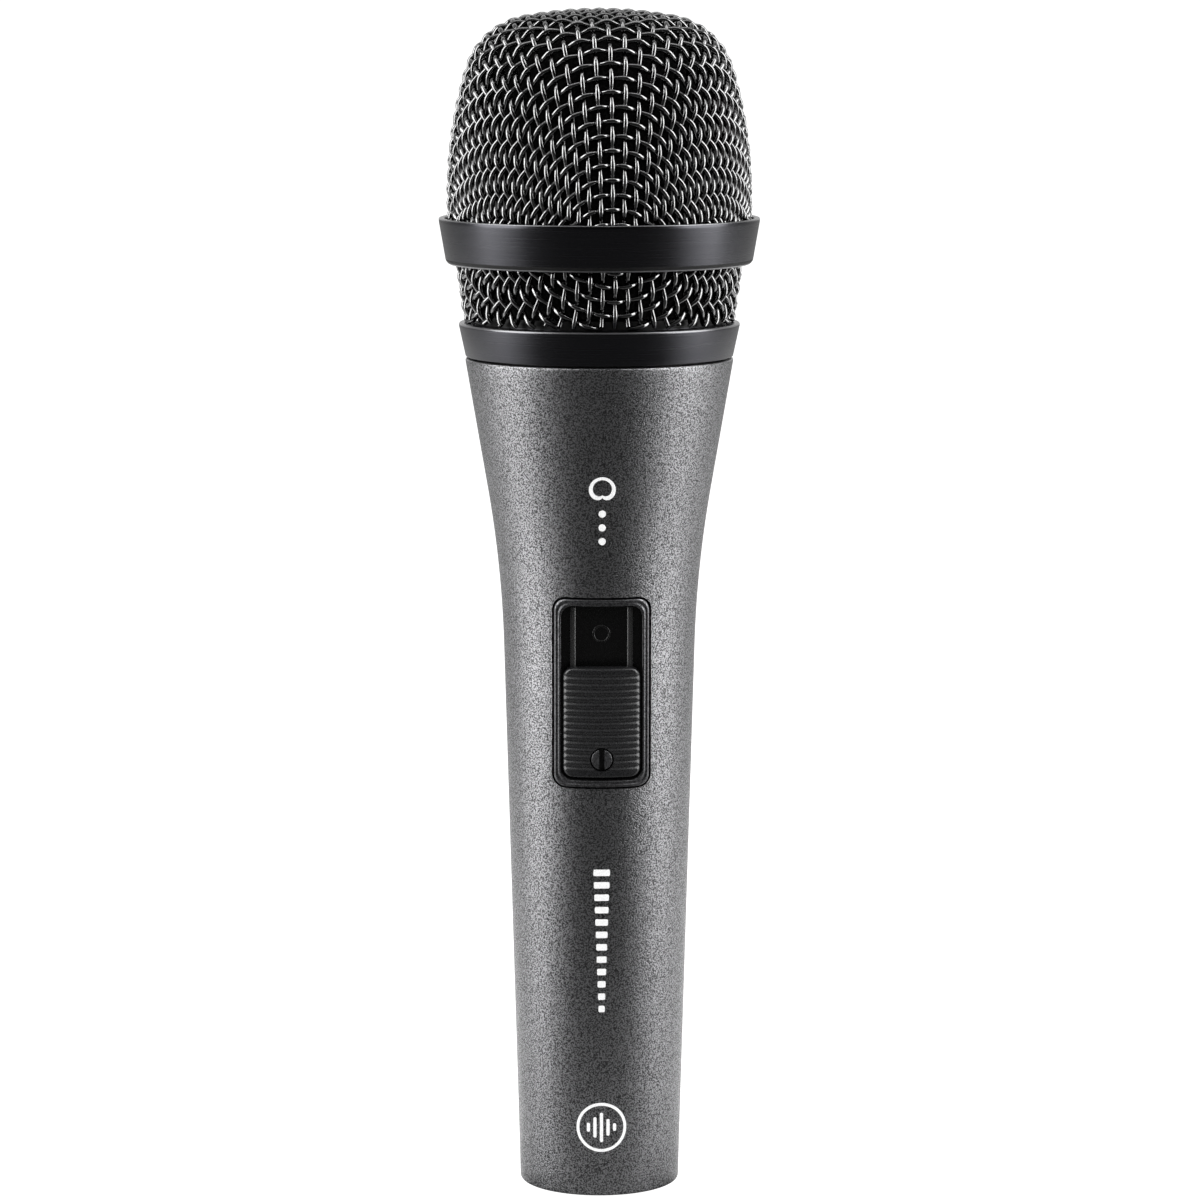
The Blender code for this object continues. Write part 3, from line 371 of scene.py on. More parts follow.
PAINT = finish("speckled_grey_paint", (0.045, 0.045, 0.046), (0.29, 0.29, 0.298), 0.94, (0.42, 0.28),
               per_metre=4500.0, bump=1.0, depth=0.075 * MM)
RIM_PAINT = finish("grey_rim_metal", (0.042, 0.042, 0.044), (0.125, 0.125, 0.13), 0.92, (0.38, 0.28),
                   per_metre=4500.0, bump=0.4, depth=0.04 * MM)
SATIN = finish("satin_black_metal", (0.045, 0.045, 0.050), (0.053, 0.053, 0.058), 1.0, (0.25, 0.28),
               effect=turning_group, per_metre=5000.0, bump=0.03, depth=0.02 * MM)
# Lighter than the satin black: a painted highlight for the rounded edges of the ring and collar.
EDGE_HIGHLIGHT_PAINT = finish("painted_edge_highlight", (0.11, 0.11, 0.115), (0.16, 0.16, 0.165), 0.9, (0.24, 0.34),
                   effect=turning_group, per_metre=5000.0, bump=0.03, depth=0.02 * MM)
# Near-black painted shade for hollows and gaps: the insides behind the wires, the neck under the collar
# and the lock's slot.
SHADE_BLACK = finish("painted_shade_black", (0.002, 0.002, 0.002), (0.006, 0.006, 0.006), 0.0, (0.5, 0.65),
                  per_metre=5000.0, bump=0.1, depth=0.02 * MM, gleam=0.2)
WIRES = finish("black_wire", (0.13, 0.13, 0.13), (0.23, 0.23, 0.23), 1.0, (0.05, 0.09),
               per_metre=9000.0, bump=0.12, depth=0.02 * MM)
FOAM = finish("dark_foam", (0.001, 0.001, 0.001), (0.004, 0.004, 0.004), 0.0, (0.95, 1.0),
              per_metre=2500.0, bump=0.8, depth=0.3 * MM, gleam=0.05)
BLACK_PLASTIC = finish("black_plastic", (0.003, 0.003, 0.0033), (0.012, 0.012, 0.013), 0.0, (0.34, 0.25),
                       per_metre=4500.0, bump=0.5, depth=0.03 * MM)
# A darker copy of the black plastic for the recessed guide: painted shade.
GUIDE_SHADED_PLASTIC = finish("guide_plastic_painted_shade", (0.0012, 0.0012, 0.0012), (0.003, 0.003, 0.003), 0.0, (0.3, 0.24),
                       per_metre=6000.0, bump=0.15, depth=0.02 * MM, gleam=0.4)
# A lighter, more reflective copy of the black plastic: a painted highlight on the rails and the sides of
# the marks.
RAIL_HIGHLIGHT_PLASTIC = finish("rail_painted_highlight", (0.02, 0.02, 0.02), (0.04, 0.04, 0.04), 0.3, (0.3, 0.22),
                      per_metre=6000.0, bump=0.1, depth=0.02 * MM, gleam=1.0)
LOCK_METAL = finish("lock_screw_metal", (0.028, 0.028, 0.029), (0.08, 0.08, 0.084), 0.6, (0.34, 0.24),
                    per_metre=5000.0, bump=0.2, depth=0.02 * MM)
WHITE_INK = finish("white_ink", (0.84, 0.84, 0.84), (0.95, 0.95, 0.95), 0.0, (0.55, 0.45),
                   per_metre=5000.0, bump=0.1, depth=0.01 * MM)
RUBBER = finish("rubber", (0.012, 0.012, 0.012), (0.025, 0.025, 0.025), 0.0, (0.8, 0.65),
                per_metre=4000.0, bump=0.3)
STEEL = finish("steel", (0.42, 0.42, 0.43), (0.60, 0.60, 0.61), 1.0, (0.25, 0.38),
               effect=turning_group, bump=0.15, depth=0.02 * MM)
MAGNET = finish("magnet_metal", (0.30, 0.30, 0.32), (0.42, 0.42, 0.44), 1.0, (0.18, 0.28),
                per_metre=2500.0, bump=0.1)
BRASS = finish("plated_brass", (0.62, 0.50, 0.22), (0.80, 0.68, 0.36), 1.0, (0.2, 0.3),
               effect=turning_group, bump=0.1, depth=0.02 * MM)
COPPER = finish("enamelled_copper", (0.45, 0.16, 0.06), (0.66, 0.28, 0.12), 1.0, (0.25, 0.4),
                effect=turning_group, per_metre=9000.0, bump=0.5)
FILM = finish("clear_film", (0.60, 0.57, 0.44), (0.74, 0.70, 0.56), 0.0, (0.15, 0.25),
              per_metre=1500.0, bump=0.2)
FELT = finish("grey_felt", (0.18, 0.18, 0.18), (0.36, 0.36, 0.36), 0.0, (0.9, 1.0),
              per_metre=2500.0, bump=0.8, depth=0.2 * MM)
BOARD = finish("green_board", (0.015, 0.12, 0.04), (0.03, 0.20, 0.07), 0.0, (0.3, 0.42),
               per_metre=1500.0, bump=0.15)
GLASS = finish("switch_glass", (0.35, 0.45, 0.42), (0.45, 0.55, 0.52), 0.0, (0.05, 0.1),
               per_metre=1500.0, bump=0.05)
RED_WIRE = finish("red_wire", (0.36, 0.02, 0.02), (0.50, 0.04, 0.03), 0.0, (0.35, 0.45), bump=0.1)
WHITE_WIRE = finish("white_wire", (0.55, 0.55, 0.53), (0.70, 0.70, 0.68), 0.0, (0.35, 0.45), bump=0.1)
print("materials, with the frame's own:", len(bpy.data.materials))

# %% [markdown]
# ## Ways of making a piece
# A turned piece is an outline spun round the axis. Its corners are rounded first, because a
# real edge always catches a thin line of light. Each finished piece rides on its body and takes
# the place of its plain node.

# %% Outlines and spun pieces
MERGE = 0.001 * MM


def rounded(points, radius, steps=4):
    """The closed outline with each corner cut back and turned by an arc-like curve."""
    made = []
    count = len(points)
    for i in range(count):
        before, here, after = (Vector(points[(i + k) % count]) for k in (-1, 0, 1))
        size = radius[i] if isinstance(radius, (list, tuple)) else radius
        reach = min(size, (before - here).length * 0.45, (after - here).length * 0.45)
        if reach < 0.01 * MM:
            made.append(tuple(here))
            continue
        start = here + (before - here).normalized() * reach
        end = here + (after - here).normalized() * reach
        for step in range(steps + 1):
            t = step / steps
            made.append(tuple((1 - t) ** 2 * start + 2 * t * (1 - t) * here + t * t * end))
    return made


def spun(name, outline, segments=160, close=True):
    """Spins (radius, height) points about Z into a closed mesh."""
    sketch = bmesh.new()
    verts = [sketch.verts.new((radius, 0, height)) for radius, height in outline]
    pairs = list(zip(verts, verts[1:]))
    if close:
        pairs.append((verts[-1], verts[0]))
    edges = [sketch.edges.new(pair) for pair in pairs]
    bmesh.ops.spin(
        sketch, geom=verts + edges, cent=(0, 0, 0), axis=(0, 0, 1), angle=2 * math.pi,
        steps=segments, use_merge=True,
    )
    bmesh.ops.remove_doubles(sketch, verts=sketch.verts, dist=MERGE)
    return mesh_from(name, sketch)


# %% Finished pieces


def add_piece(name, mesh, look, body, slot, *replaced, sharp=35):
    """Dresses a mesh as a piece that rides on a body, and says how heavy it is to draw."""
    piece = placed(name, mesh)
    mesh.materials.clear()
    mesh.materials.append(look)
    mesh.shade_smooth()
    mesh.set_sharp_from_angle(angle=math.radians(sharp))
    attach(piece, body)
    if replaced:
        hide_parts(*replaced)
    print(name, "on", body + ":", sum(len(face.vertices) - 2 for face in mesh.polygons), "triangles")
    return piece


def also(piece, look, chosen):
    """Gives a further finish to the faces that a test chooses, and says how many there are."""
    mesh = piece.data
    mesh.materials.append(look)
    faces = [face for face in mesh.polygons if chosen(face)]
    for face in faces:
        face.material_index = len(mesh.materials) - 1
    print("  faces in", look.name + ":", len(faces))


# %% Cutters


def cut(mesh, tools, operation="DIFFERENCE"):
    """Applies Booleans with these meshes in turn, and returns the new mesh."""
    body = placed("work", mesh)
    helpers = [placed("tool", tool) for tool in tools]
    for helper in helpers:
        step = body.modifiers.new("cut", "BOOLEAN")
        step.operation = operation
        step.solver = "EXACT"
        step.object = helper
    graph = bpy.context.evaluated_depsgraph_get()
    made = bpy.data.meshes.new_from_object(body.evaluated_get(graph))
    made.name = mesh.name
    for thing in [body, *helpers]:
        bpy.data.objects.remove(thing)
    return made


def bevelled(sketch, edges, offset, segments):
    bmesh.ops.bevel(
        sketch, geom=edges, offset=offset, segments=segments, profile=0.5, affect="EDGES",
        material=-1,
    )


def block(size, corner=0.0, place=(0, 0, 0), segments=6, all_round=False):
    """A box with its edges along Y rounded, or all of them, moved to a place."""
    sketch = bmesh.new()
    bmesh.ops.create_cube(sketch, size=1.0)
    bmesh.ops.scale(sketch, vec=size, verts=sketch.verts)
    if corner:
        edges = sketch.edges[:]
        if not all_round:
            edges = [e for e in edges if abs(e.verts[0].co.y - e.verts[1].co.y) > size[1] / 2]
        bevelled(sketch, edges, corner, segments)
    bmesh.ops.translate(sketch, vec=place, verts=sketch.verts)
    return mesh_from("block", sketch, outwards=False)


def rod(radius, length, axis="Z", place=(0, 0, 0), segments=48, bevel=0.0):
    """A cylinder along Z or Y, its rims bevelled if asked, moved to a place."""
    sketch = bmesh.new()
    bmesh.ops.create_cone(
        sketch, cap_ends=True, segments=segments, radius1=radius, radius2=radius, depth=length
    )
    if bevel:
        rims = [edge for edge in sketch.edges if len(edge.link_faces) == 2
                and {len(face.verts) for face in edge.link_faces} == {4, segments}]
        bevelled(sketch, rims, bevel, 3)
    if axis == "Y":
        quarter = Matrix.Rotation(math.pi / 2, 3, "X")
        bmesh.ops.rotate(sketch, cent=(0, 0, 0), matrix=quarter, verts=sketch.verts)
    bmesh.ops.translate(sketch, vec=place, verts=sketch.verts)
    return mesh_from("rod", sketch, outwards=False)


# %% [markdown]
# ## The woven head
# A grille like this starts as a flat square weave and is drawn over a former. The wires keep
# nearly their spacing, so the squares shear into diamonds between the four directions that the
# wires set out in. Here a grid of crossings is laid on the dome and let settle: each stretch of
# wire pulls to its length, each wire resists kinking, and a diamond can't close past the point
# where wires touch. The wires then run through the crossings, over and under in turn.

# %% Shape of the dome


def circles_meet(first, first_radius, second, second_radius):
    across = second - first
    distance = across.length
    along = (first_radius**2 - second_radius**2 + distance**2) / (2 * distance)
    aside = math.sqrt(first_radius**2 - along**2)
    unit = across / distance
    foot = first + along * unit
    normal = Vector((-unit.y, unit.x))
    return max((foot + aside * normal, foot - aside * normal), key=lambda point: point.x + point.y)


def arc(centre, radius, start, end, steps):
    angles = [start + (end - start) * step / steps for step in range(1, steps + 1)]
    return [(centre.x + radius * math.cos(a), centre.y + radius * math.sin(a)) for a in angles]


CROWN = 62.0 * MM
SHOULDER = 11.3 * MM
SIDE = 66.0 * MM
SIDE_START = RING_TOP + 3.4 * MM


def dome_profile(inset, bottom, steps=24):
    """The dome from its crown down to a height, moved inwards by a distance."""
    crown = Vector((0, TOP - CROWN))
    side = Vector((DOME_RADIUS - SIDE, SIDE_START))
    shoulder = circles_meet(crown, CROWN - SHOULDER, side, SIDE - SHOULDER)
    leave_crown = math.atan2(shoulder.y - crown.y, shoulder.x - crown.x)
    leave_shoulder = math.atan2(shoulder.y - side.y, shoulder.x - side.x)
    outline = [(0, TOP - inset)]
    outline += arc(crown, CROWN - inset, math.pi / 2, leave_crown, steps)
    outline += arc(shoulder, SHOULDER - inset, leave_crown, leave_shoulder, steps)
    outline += arc(side, SIDE - inset, leave_shoulder, 0, steps)
    outline.append((DOME_RADIUS - inset, bottom))
    return outline


print("points on the dome's outline:", len(dome_profile(0, RING_TOP)))

# %% [markdown]
# The wires need to know the surface that they lie on. A Former keeps its outline as distances
# from the pole, and gives back the point under any spot and the way outwards there.

# %% A turned surface to weave on
TINY = 1e-9


def filled(outline, step=0.25 * MM):
    """The same outline with points no further apart than the step."""
    made = []
    for (r0, z0), (r1, z1) in zip(outline, outline[1:]):
        parts = max(1, math.ceil(math.hypot(r1 - r0, z1 - z0) / step))
        made += [(r0 + (r1 - r0) * k / parts, z0 + (z1 - z0) * k / parts) for k in range(parts)]
    return [*made, outline[-1]]


class Former:
    """A turned surface, known by its outline from the pole outwards."""

    def __init__(self, outline, eye):
        self.points = np.array(filled(outline))
        steps = np.linalg.norm(np.diff(self.points, axis=0), axis=1)
        self.along = np.concatenate([[0], np.cumsum(steps)])
        self.eye = eye
        self.up = 1 if self.points[0, 1] > eye else -1
        self.angle = np.arctan2(self.points[:, 0], self.up * (self.points[:, 1] - eye))

    def at(self, distance):
        radius = np.interp(distance, self.along, self.points[:, 0])
        height = np.interp(distance, self.along, self.points[:, 1])
        return radius, height

    def seen_from_eye(self, spots):
        """Each spot's distance from the axis, and its angle at the eye."""
        flat = np.hypot(spots[..., 0], spots[..., 1])
        return np.maximum(flat, TINY), np.arctan2(flat, self.up * (spots[..., 2] - self.eye))

    def onto(self, spots):
        """The spots moved along their sight lines onto the surface."""
        flat, angle = self.seen_from_eye(spots)
        scale = np.interp(angle, self.angle, self.points[:, 0]) / flat
        height = np.interp(angle, self.angle, self.points[:, 1])
        return np.stack([spots[..., 0] * scale, spots[..., 1] * scale, height], -1)

    def normal(self, spots):
        """Outward directions by the slope of the outline."""
        flat, angle = self.seen_from_eye(spots)
        run = np.interp(angle, self.angle, np.gradient(self.points[:, 0], self.along))
        rise = np.interp(angle, self.angle, np.gradient(self.points[:, 1], self.along))
        rise = rise / flat
        made = self.up * np.stack([-spots[..., 0] * rise, -spots[..., 1] * rise, run], -1)
        return made / np.linalg.norm(made, axis=-1)[..., None]


# %% [markdown]
# Settling starts from a rough fan of crossings. In each round, every side pulls towards the
# pitch, every diagonal pushes when it is too short, and every wire is drawn a little straight.

# %% Settling the crossings


def settle(former, pitch, closest=0.7, kink=0.1, rounds=1000):
    """Positions of the crossings, and which of them lie on the former."""
    count = int(former.along[-1] / pitch) + 1
    steps = np.arange(-count, count + 1)
    across, down = np.meshgrid(steps, steps, indexing="ij")
    reach = np.hypot(across, down) * pitch
    azimuth = np.arctan2(down, across)
    far = np.clip(reach / former.along[-1], 0, 1)
    distance = reach * (1 + 0.3 * np.sin(2 * azimuth) ** 2 * far)
    live = distance < former.along[-1]
    azimuth = azimuth + 0.1 * np.sin(4 * azimuth) * far
    radius, height = former.at(np.minimum(distance, former.along[-1]))
    spots = np.stack([radius * np.cos(azimuth), radius * np.sin(azimuth), height], -1)
    shortest = 2 * pitch * math.sin(closest / 2)
    every, first, last = slice(None), slice(None, -1), slice(1, None)
    sides = (((first, every), (last, every)), ((every, first), (every, last)))
    diagonals = (((last, first), (first, last)), ((last, last), (first, first)))
    for _ in range(rounds):
        move = np.zeros_like(spots)
        weight = np.full(live.shape, TINY)
        for pairs, rest in ((sides, None), (diagonals, shortest)):
            for one, other in pairs:
                gap = spots[other] - spots[one]
                length = np.linalg.norm(gap, axis=-1)
                held = live[one] & live[other]
                if rest is not None:
                    held = held & (length < rest)
                pull = (length - (rest or pitch)) / np.maximum(length, TINY)
                shift = np.where(held, pull * 0.5, 0)[..., None] * gap
                move[one] += shift
                move[other] -= shift
                weight[one] += held
                weight[other] += held
        for lane in (0, 1):
            line = np.moveaxis(spots, lane, 0)
            alive = np.moveaxis(live, lane, 0)
            bend = (line[:-2] + line[2:]) / 2 - line[1:-1]
            held = (alive[:-2] & alive[2:] & alive[1:-1])[..., None]
            np.moveaxis(move, lane, 0)[1:-1] += np.where(held, bend * kink, 0)
        spots = spots + 1.2 * move / np.maximum(weight, 1)[..., None]
        spots[:, count, 1] = 0
        spots[count, :, 0] = 0
        spots = former.onto(spots)
        spots[count, count] = (0, 0, former.points[0, 1])
    return spots, live


def gathered(spots, start, end, amount):
    """Draws the wires towards the four meridians that the weave set out along, rim most."""
    part = np.clip((spots[..., 2] - start) / (end - start), 0, 1)
    part = part * part * (3 - 2 * part)
    azimuth = np.arctan2(spots[..., 1], spots[..., 0])
    azimuth = azimuth - amount * part * np.sin(4 * azimuth)
    radius = np.hypot(spots[..., 0], spots[..., 1])
    return np.stack([radius * np.cos(azimuth), radius * np.sin(azimuth), spots[..., 2]], -1)


# %% [markdown]
# A wire is a smooth line through its crossings, moved out by its radius at one and in at the
# next. A curve with a round bevel gives it a body, and only the stretches inside the grille's
# two edges are kept.

# %% Wires through the crossings


def smooth_line(points, per_step):
    """A smooth line through the points (Catmull-Rom), with the place of each sample in steps."""
    points = np.asarray(points)
    ahead = 2 * points[-1] - points[-2]
    behind = 2 * points[0] - points[1]
    line = np.concatenate([[behind], points, [ahead]])
    samples, places = [], []
    for i in range(len(points) - 1):
        a, b, c, d = line[i : i + 4]
        for k in range(per_step):
            t = k / per_step
            square = (2 * a - 5 * b + 4 * c - d) * t * t
            cube = (3 * b - a - 3 * c + d) * t**3
            samples.append(0.5 * (2 * b + (c - a) * t + square + cube))
            places.append(i + t)
    samples.append(points[-1])
    places.append(len(points) - 1)
    return np.array(samples), np.array(places)


def weave(name, former, spots, live, lane, low, high, turn, per_step=5, radius=WIRE):
    """One family of wires as a mesh, cut off below and above two heights."""
    curve = bpy.data.curves.new(name, "CURVE")
    curve.dimensions = "3D"
    curve.bevel_depth = radius
    curve.bevel_resolution = 2
    curve.use_fill_caps = True
    lines = np.moveaxis(spots, lane, 0)
    alive = np.moveaxis(live, lane, 0)
    swing = np.array(Matrix.Rotation(turn, 3, "Z"))
    for number in range(lines.shape[1]):
        keep = np.flatnonzero(alive[:, number])
        if len(keep) < 3:
            continue
        points, places = smooth_line(lines[keep, number], per_step)
        side = 1 if lane else -1
        phase = np.cos(math.pi * (places + keep[0] + number)) * side
        points = former.onto(points)
        points = points + former.normal(points) * (phase * radius)[:, None]
        points = points @ swing.T
        inside = (points[:, 2] > low) & (points[:, 2] < high)
        breaks = np.flatnonzero(np.diff(inside.astype(int))) + 1
        for run in np.split(np.arange(len(points)), breaks):
            if not inside[run[0]] or len(run) < 3:
                continue
            spline = curve.splines.new("POLY")
            spline.points.add(len(run) - 1)
            for point, at in zip(spline.points, points[run]):
                point.co = (*at, 1)
    shape = placed(name, curve)
    graph = bpy.context.evaluated_depsgraph_get()
    rough = bpy.data.meshes.new_from_object(shape.evaluated_get(graph))
    bpy.data.objects.remove(shape)
    sketch = bmesh.new()
    sketch.from_mesh(rough)
    bpy.data.meshes.remove(rough)
    bmesh.ops.remove_doubles(sketch, verts=sketch.verts, dist=MERGE)
    return mesh_from(name, sketch)


def grille(part, former, spots, live, low, high, turn):
    """Both families of wires; the first one takes the place of the plain part."""
    for lane, family in enumerate(("warp", "weft")):
        name = f"{part}_{family}"
        mesh = weave(name, former, spots, live, lane, low, high, turn)
        replaced = () if lane else (f"grille_{part}",)
        add_piece(name, mesh, WIRES, "head", "black_mesh", *replaced, sharp=60)


# %% The dome
EYE = RING_TOP + 1.4 * MM
TUCKED = 0.5 * MM
SKIRT = 11 * MM
CROWN_HEIGHT = 8 * MM
former = Former(dome_profile(2 * WIRE, RING_TOP - SKIRT), EYE)
spots, live = settle(former, PITCH)
spots = gathered(spots, TOP - CROWN_HEIGHT, RING_TOP, 0.035)
DOME_TURN = math.radians(-90 + 5) + CAMERA_ROUND
grille("dome", former, spots, live, low_dome.z + TUCKED, 2 * TOP, DOME_TURN)

# %% [markdown]
# The lower part of the ball is another drawn cup, upside down and with its bottom cut out for
# the collar. Its pole lies below, so its diamonds open the other way.

# %% The band
BAND_FOOT = low_band.z
BAND_LOW = 20.55 * MM
BAND_HIGH = 21.75 * MM
CUP_CORNER = 5.0 * MM
CUP_SKIRT = 16 * MM
SIDE_ANGLE = -0.14
cup_radius = BAND_LOW - 2 * WIRE
corner = Vector((cup_radius - CUP_CORNER, BAND_FOOT))
cup = [(0, BAND_FOOT - CUP_CORNER), (corner.x, BAND_FOOT - CUP_CORNER)]
cup += arc(corner, CUP_CORNER, -math.pi / 2, SIDE_ANGLE, 20)
lean = (BAND_HIGH - BAND_LOW) / (RING_BOTTOM - BAND_FOOT)
cup.append((cup_radius + lean * CUP_SKIRT, BAND_FOOT + CUP_SKIRT))
former = Former(cup, RING_TOP)
spots, live = settle(former, PITCH)
spots = gathered(spots, BAND_FOOT - 6 * MM, BAND_FOOT + 3 * MM, 0.03)
BAND_TURN = math.radians(-90 + 6.5) + CAMERA_ROUND
grille("band", former, spots, live, low_band.z, high_band.z, BAND_TURN)

# %% [markdown]
# ## Ring, collar and seal
# The ring and the collar are turned from tube and coated satin black. Their rounded edges get a
# lighter finish, a painted highlight for the thin bright lines they catch, and the faces behind
# the wires a near-black one, painted shade. The ring's web holds the two cups apart, and the
# collar's lip clamps the seal on the neck when the head is screwed down.

# %% Ring
FIT = 0.06 * MM
FOOT_WALL = 1.4 * MM
TOP_POCKET_DEPTH = 2.6 * MM
WEB_THICKNESS = 2.0 * MM
WEB_REACH = 1.75 * MM
RING_EDGE = 0.5 * MM
RING_FOOT_RADIUS = BAND_HIGH + FIT + FOOT_WALL
WEB_TOP = RING_TOP - TOP_POCKET_DEPTH
WEB_BOTTOM = WEB_TOP - WEB_THICKNESS
POCKET = DOME_RADIUS + GAP
LOWER_POCKET = high_band.x + GAP
WEB_RADIUS = min(DOME_RADIUS, high_band.x) - WEB_REACH
ring = [
    (POCKET, RING_TOP),
    (RING_RADIUS, RING_TOP),
    (RING_RADIUS, RING_TOP - RING_EDGE),
    (RING_FOOT_RADIUS, RING_BOTTOM + RING_EDGE),
    (RING_FOOT_RADIUS - RING_EDGE, RING_BOTTOM),
    (LOWER_POCKET, RING_BOTTOM),
    (LOWER_POCKET, WEB_BOTTOM),
    (WEB_RADIUS, WEB_BOTTOM),
    (WEB_RADIUS, WEB_TOP),
    (POCKET, WEB_TOP),
]
edges = [size * MM for size in (0.25, 0.6, 0.2, 0.5, 0.4, 0.1, 0.1, 0.2, 0.2, 0.1)]
mesh = spun("head_ring", rounded(ring, edges, 6), 256)
piece = add_piece("head_ring", mesh, SATIN, "head", "satin_black_metal", "grille_ring")


def on_edge(radius, flat=0.93, upper=0.1, lower=-0.4):
    """A test for the faces that turn from the side to the top or the foot, outside a radius."""

    def chosen(face):
        turned = upper < face.normal.z < flat or -flat < face.normal.z < lower
        return turned and math.hypot(*face.center[:2]) > radius

    return chosen


def inside_of(radius, bottom, top):
    """A test for the faces nearer the axis than a radius and between two heights."""

    def chosen(face):
        return bottom < face.center.z < top and math.hypot(*face.center[:2]) < radius

    return chosen


# The rounded edges take a painted highlight.
also(piece, EDGE_HIGHLIGHT_PAINT, on_edge(RING_FOOT_RADIUS - 0.7 * MM))
# The faces inside the ring, behind the wires, are near-black: painted shade.
also(piece, SHADE_BLACK, inside_of(POCKET + 0.05 * MM, RING_BOTTOM + 0.3 * MM, RING_TOP - 0.3 * MM))

# %% Collar
NECK_STEP = 1.7 * MM
NECK_WALL = 2.6 * MM
NECK_HEIGHT = 3.8 * MM
COLLAR_HEIGHT = 5.1 * MM
LIP_HEIGHT = 1.9 * MM
LIP_WIDTH = 1.6 * MM
BEHIND = 1.85 * MM
NECK_RADIUS = handle_radius(HANDLE_LENGTH) - NECK_STEP
NECK_BORE = NECK_RADIUS - NECK_WALL
NECK_TOP = HANDLE_LENGTH + NECK_HEIGHT
COLLAR_BOTTOM = low_collar.z
COLLAR_TOP = COLLAR_BOTTOM + COLLAR_HEIGHT
LIP_TOP = high_collar.z
LIP_BOTTOM = LIP_TOP - LIP_HEIGHT
COLLAR_FOOT_RADIUS = handle_radius(HANDLE_LENGTH) - 0.1 * MM
SLEEVE = BAND_LOW + FIT - BEHIND
collar = [
    (SLEEVE, LIP_TOP),
    (SLEEVE, COLLAR_TOP),
    (high_collar.x, COLLAR_TOP),
    (COLLAR_FOOT_RADIUS, COLLAR_BOTTOM),
    (NECK_RADIUS + GAP, COLLAR_BOTTOM),
    (NECK_RADIUS + GAP, LIP_BOTTOM),
    (SLEEVE - LIP_WIDTH, LIP_BOTTOM),
    (SLEEVE - LIP_WIDTH, LIP_TOP),
]
edges = [size * MM for size in (0.2, 0.05, 0.5, 0.12, 0.2, 0.1, 0.2, 0.2)]
mesh = spun("head_collar", rounded(collar, edges, 6), 256)
piece = add_piece("head_collar", mesh, SATIN, "head", "satin_black_metal", "grille_collar")
# The rounded edges take a painted highlight.
also(piece, EDGE_HIGHLIGHT_PAINT, on_edge(high_collar.x - 0.7 * MM))
# The faces inside the collar, behind the band's wires, are near-black: painted shade.
also(piece, SHADE_BLACK, inside_of(BAND_LOW, COLLAR_TOP + 0.05 * MM, LIP_TOP + MM))

# %% Seal
low, high = (Vector(corner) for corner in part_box("grille_seal"))
SEAL_WIDTH = 1.3 * MM
seal_bore = high.x - SEAL_WIDTH
seal = [(seal_bore, low.z), (high.x, low.z), (high.x, high.z), (seal_bore, high.z)]
mesh = spun("neck_seal", rounded(seal, 0.16 * MM), 128)
add_piece("neck_seal", mesh, RUBBER, "seal", "rubber", "grille_seal")

# %% [markdown]
# ## Foam
# One moulded cup of open foam lines the wires and stops breath noise. It is drawn in where it
# passes the ring's web.

# %% Foam cup
FOAM_THICKNESS = 2.5 * MM
FOAM_STEP = 0.8 * MM
SWELL = WEB_TOP + 2 * GAP
WAIST = WEB_RADIUS - GAP
outside = filled(dome_profile(BEHIND, SWELL + FOAM_THICKNESS), FOAM_STEP)
outside += [(WAIST, SWELL), (WAIST, WEB_BOTTOM), (SLEEVE, LIP_TOP + GAP)]
inside = filled(dome_profile(BEHIND + FOAM_THICKNESS, SWELL + FOAM_THICKNESS), FOAM_STEP)
inside += [
    (WAIST - FOAM_THICKNESS, SWELL + FOAM_THICKNESS / 2),
    (WAIST - FOAM_THICKNESS, WEB_BOTTOM),
    (SLEEVE - FOAM_THICKNESS, LIP_TOP + GAP),
]
foam = spun("foam_cup", outside + inside[::-1], 96, close=False)
piece = add_piece("foam_cup", foam, FOAM, "head", "dark_foam", "foam_liner", sharp=60)

# %% [markdown]
# ## Handle
# The handle is a zinc casting, turned outside, threaded at the neck and sprayed with a paint
# that holds metal flake. The thread is real: its pitch is one millimetre, the distance that
# the head climbs in each turn. The window is cut last, as a mill would cut it.

# %% Outline of the handle
SEGMENTS = 224
INSERT_TOP = 22.0 * MM
SOCKET = 9.5 * MM
BASE_EDGE = 0.55 * MM
THREAD_PITCH = 1.0 * MM
THREAD_DEPTH = 0.28 * MM
ROW = 1.3 * MM
ROWS = 95
THREAD_ROW = THREAD_PITCH / 8
THREAD_ROWS = 25
top_radius = handle_radius(HANDLE_LENGTH)
heights = [HANDLE_LENGTH - 0.35 * MM - k * ROW for k in range(1, ROWS + 1)]
outer = rounded(
    [
        (NECK_BORE, NECK_TOP),
        (NECK_RADIUS, NECK_TOP),
        (NECK_RADIUS, HANDLE_LENGTH),
        (top_radius, HANDLE_LENGTH),
        (handle_radius(heights[0]), heights[0]),
    ],
    [0, 0.35 * MM, 0.05 * MM, 0.45 * MM, 0],
)[1:-1]
split_at = next(i for i, (radius, height) in enumerate(outer) if height < NECK_TOP - MM)
outer[split_at:split_at] = [
    (NECK_RADIUS, NECK_TOP - 0.4 * MM - k * THREAD_ROW) for k in range(1, THREAD_ROWS + 1)
]
outer += [(handle_radius(height), height) for height in heights]
outer += rounded(
    [
        (handle_radius(BASE_EDGE * 3), BASE_EDGE * 3),
        (BASE_RADIUS, 0),
        (SOCKET, 0),
        (SOCKET, INSERT_TOP),
    ],
    [0, BASE_EDGE, 0.3 * MM, 0],
)[1:-1]


def bore(height):
    return min(handle_radius(height) - WALL, NECK_BORE)


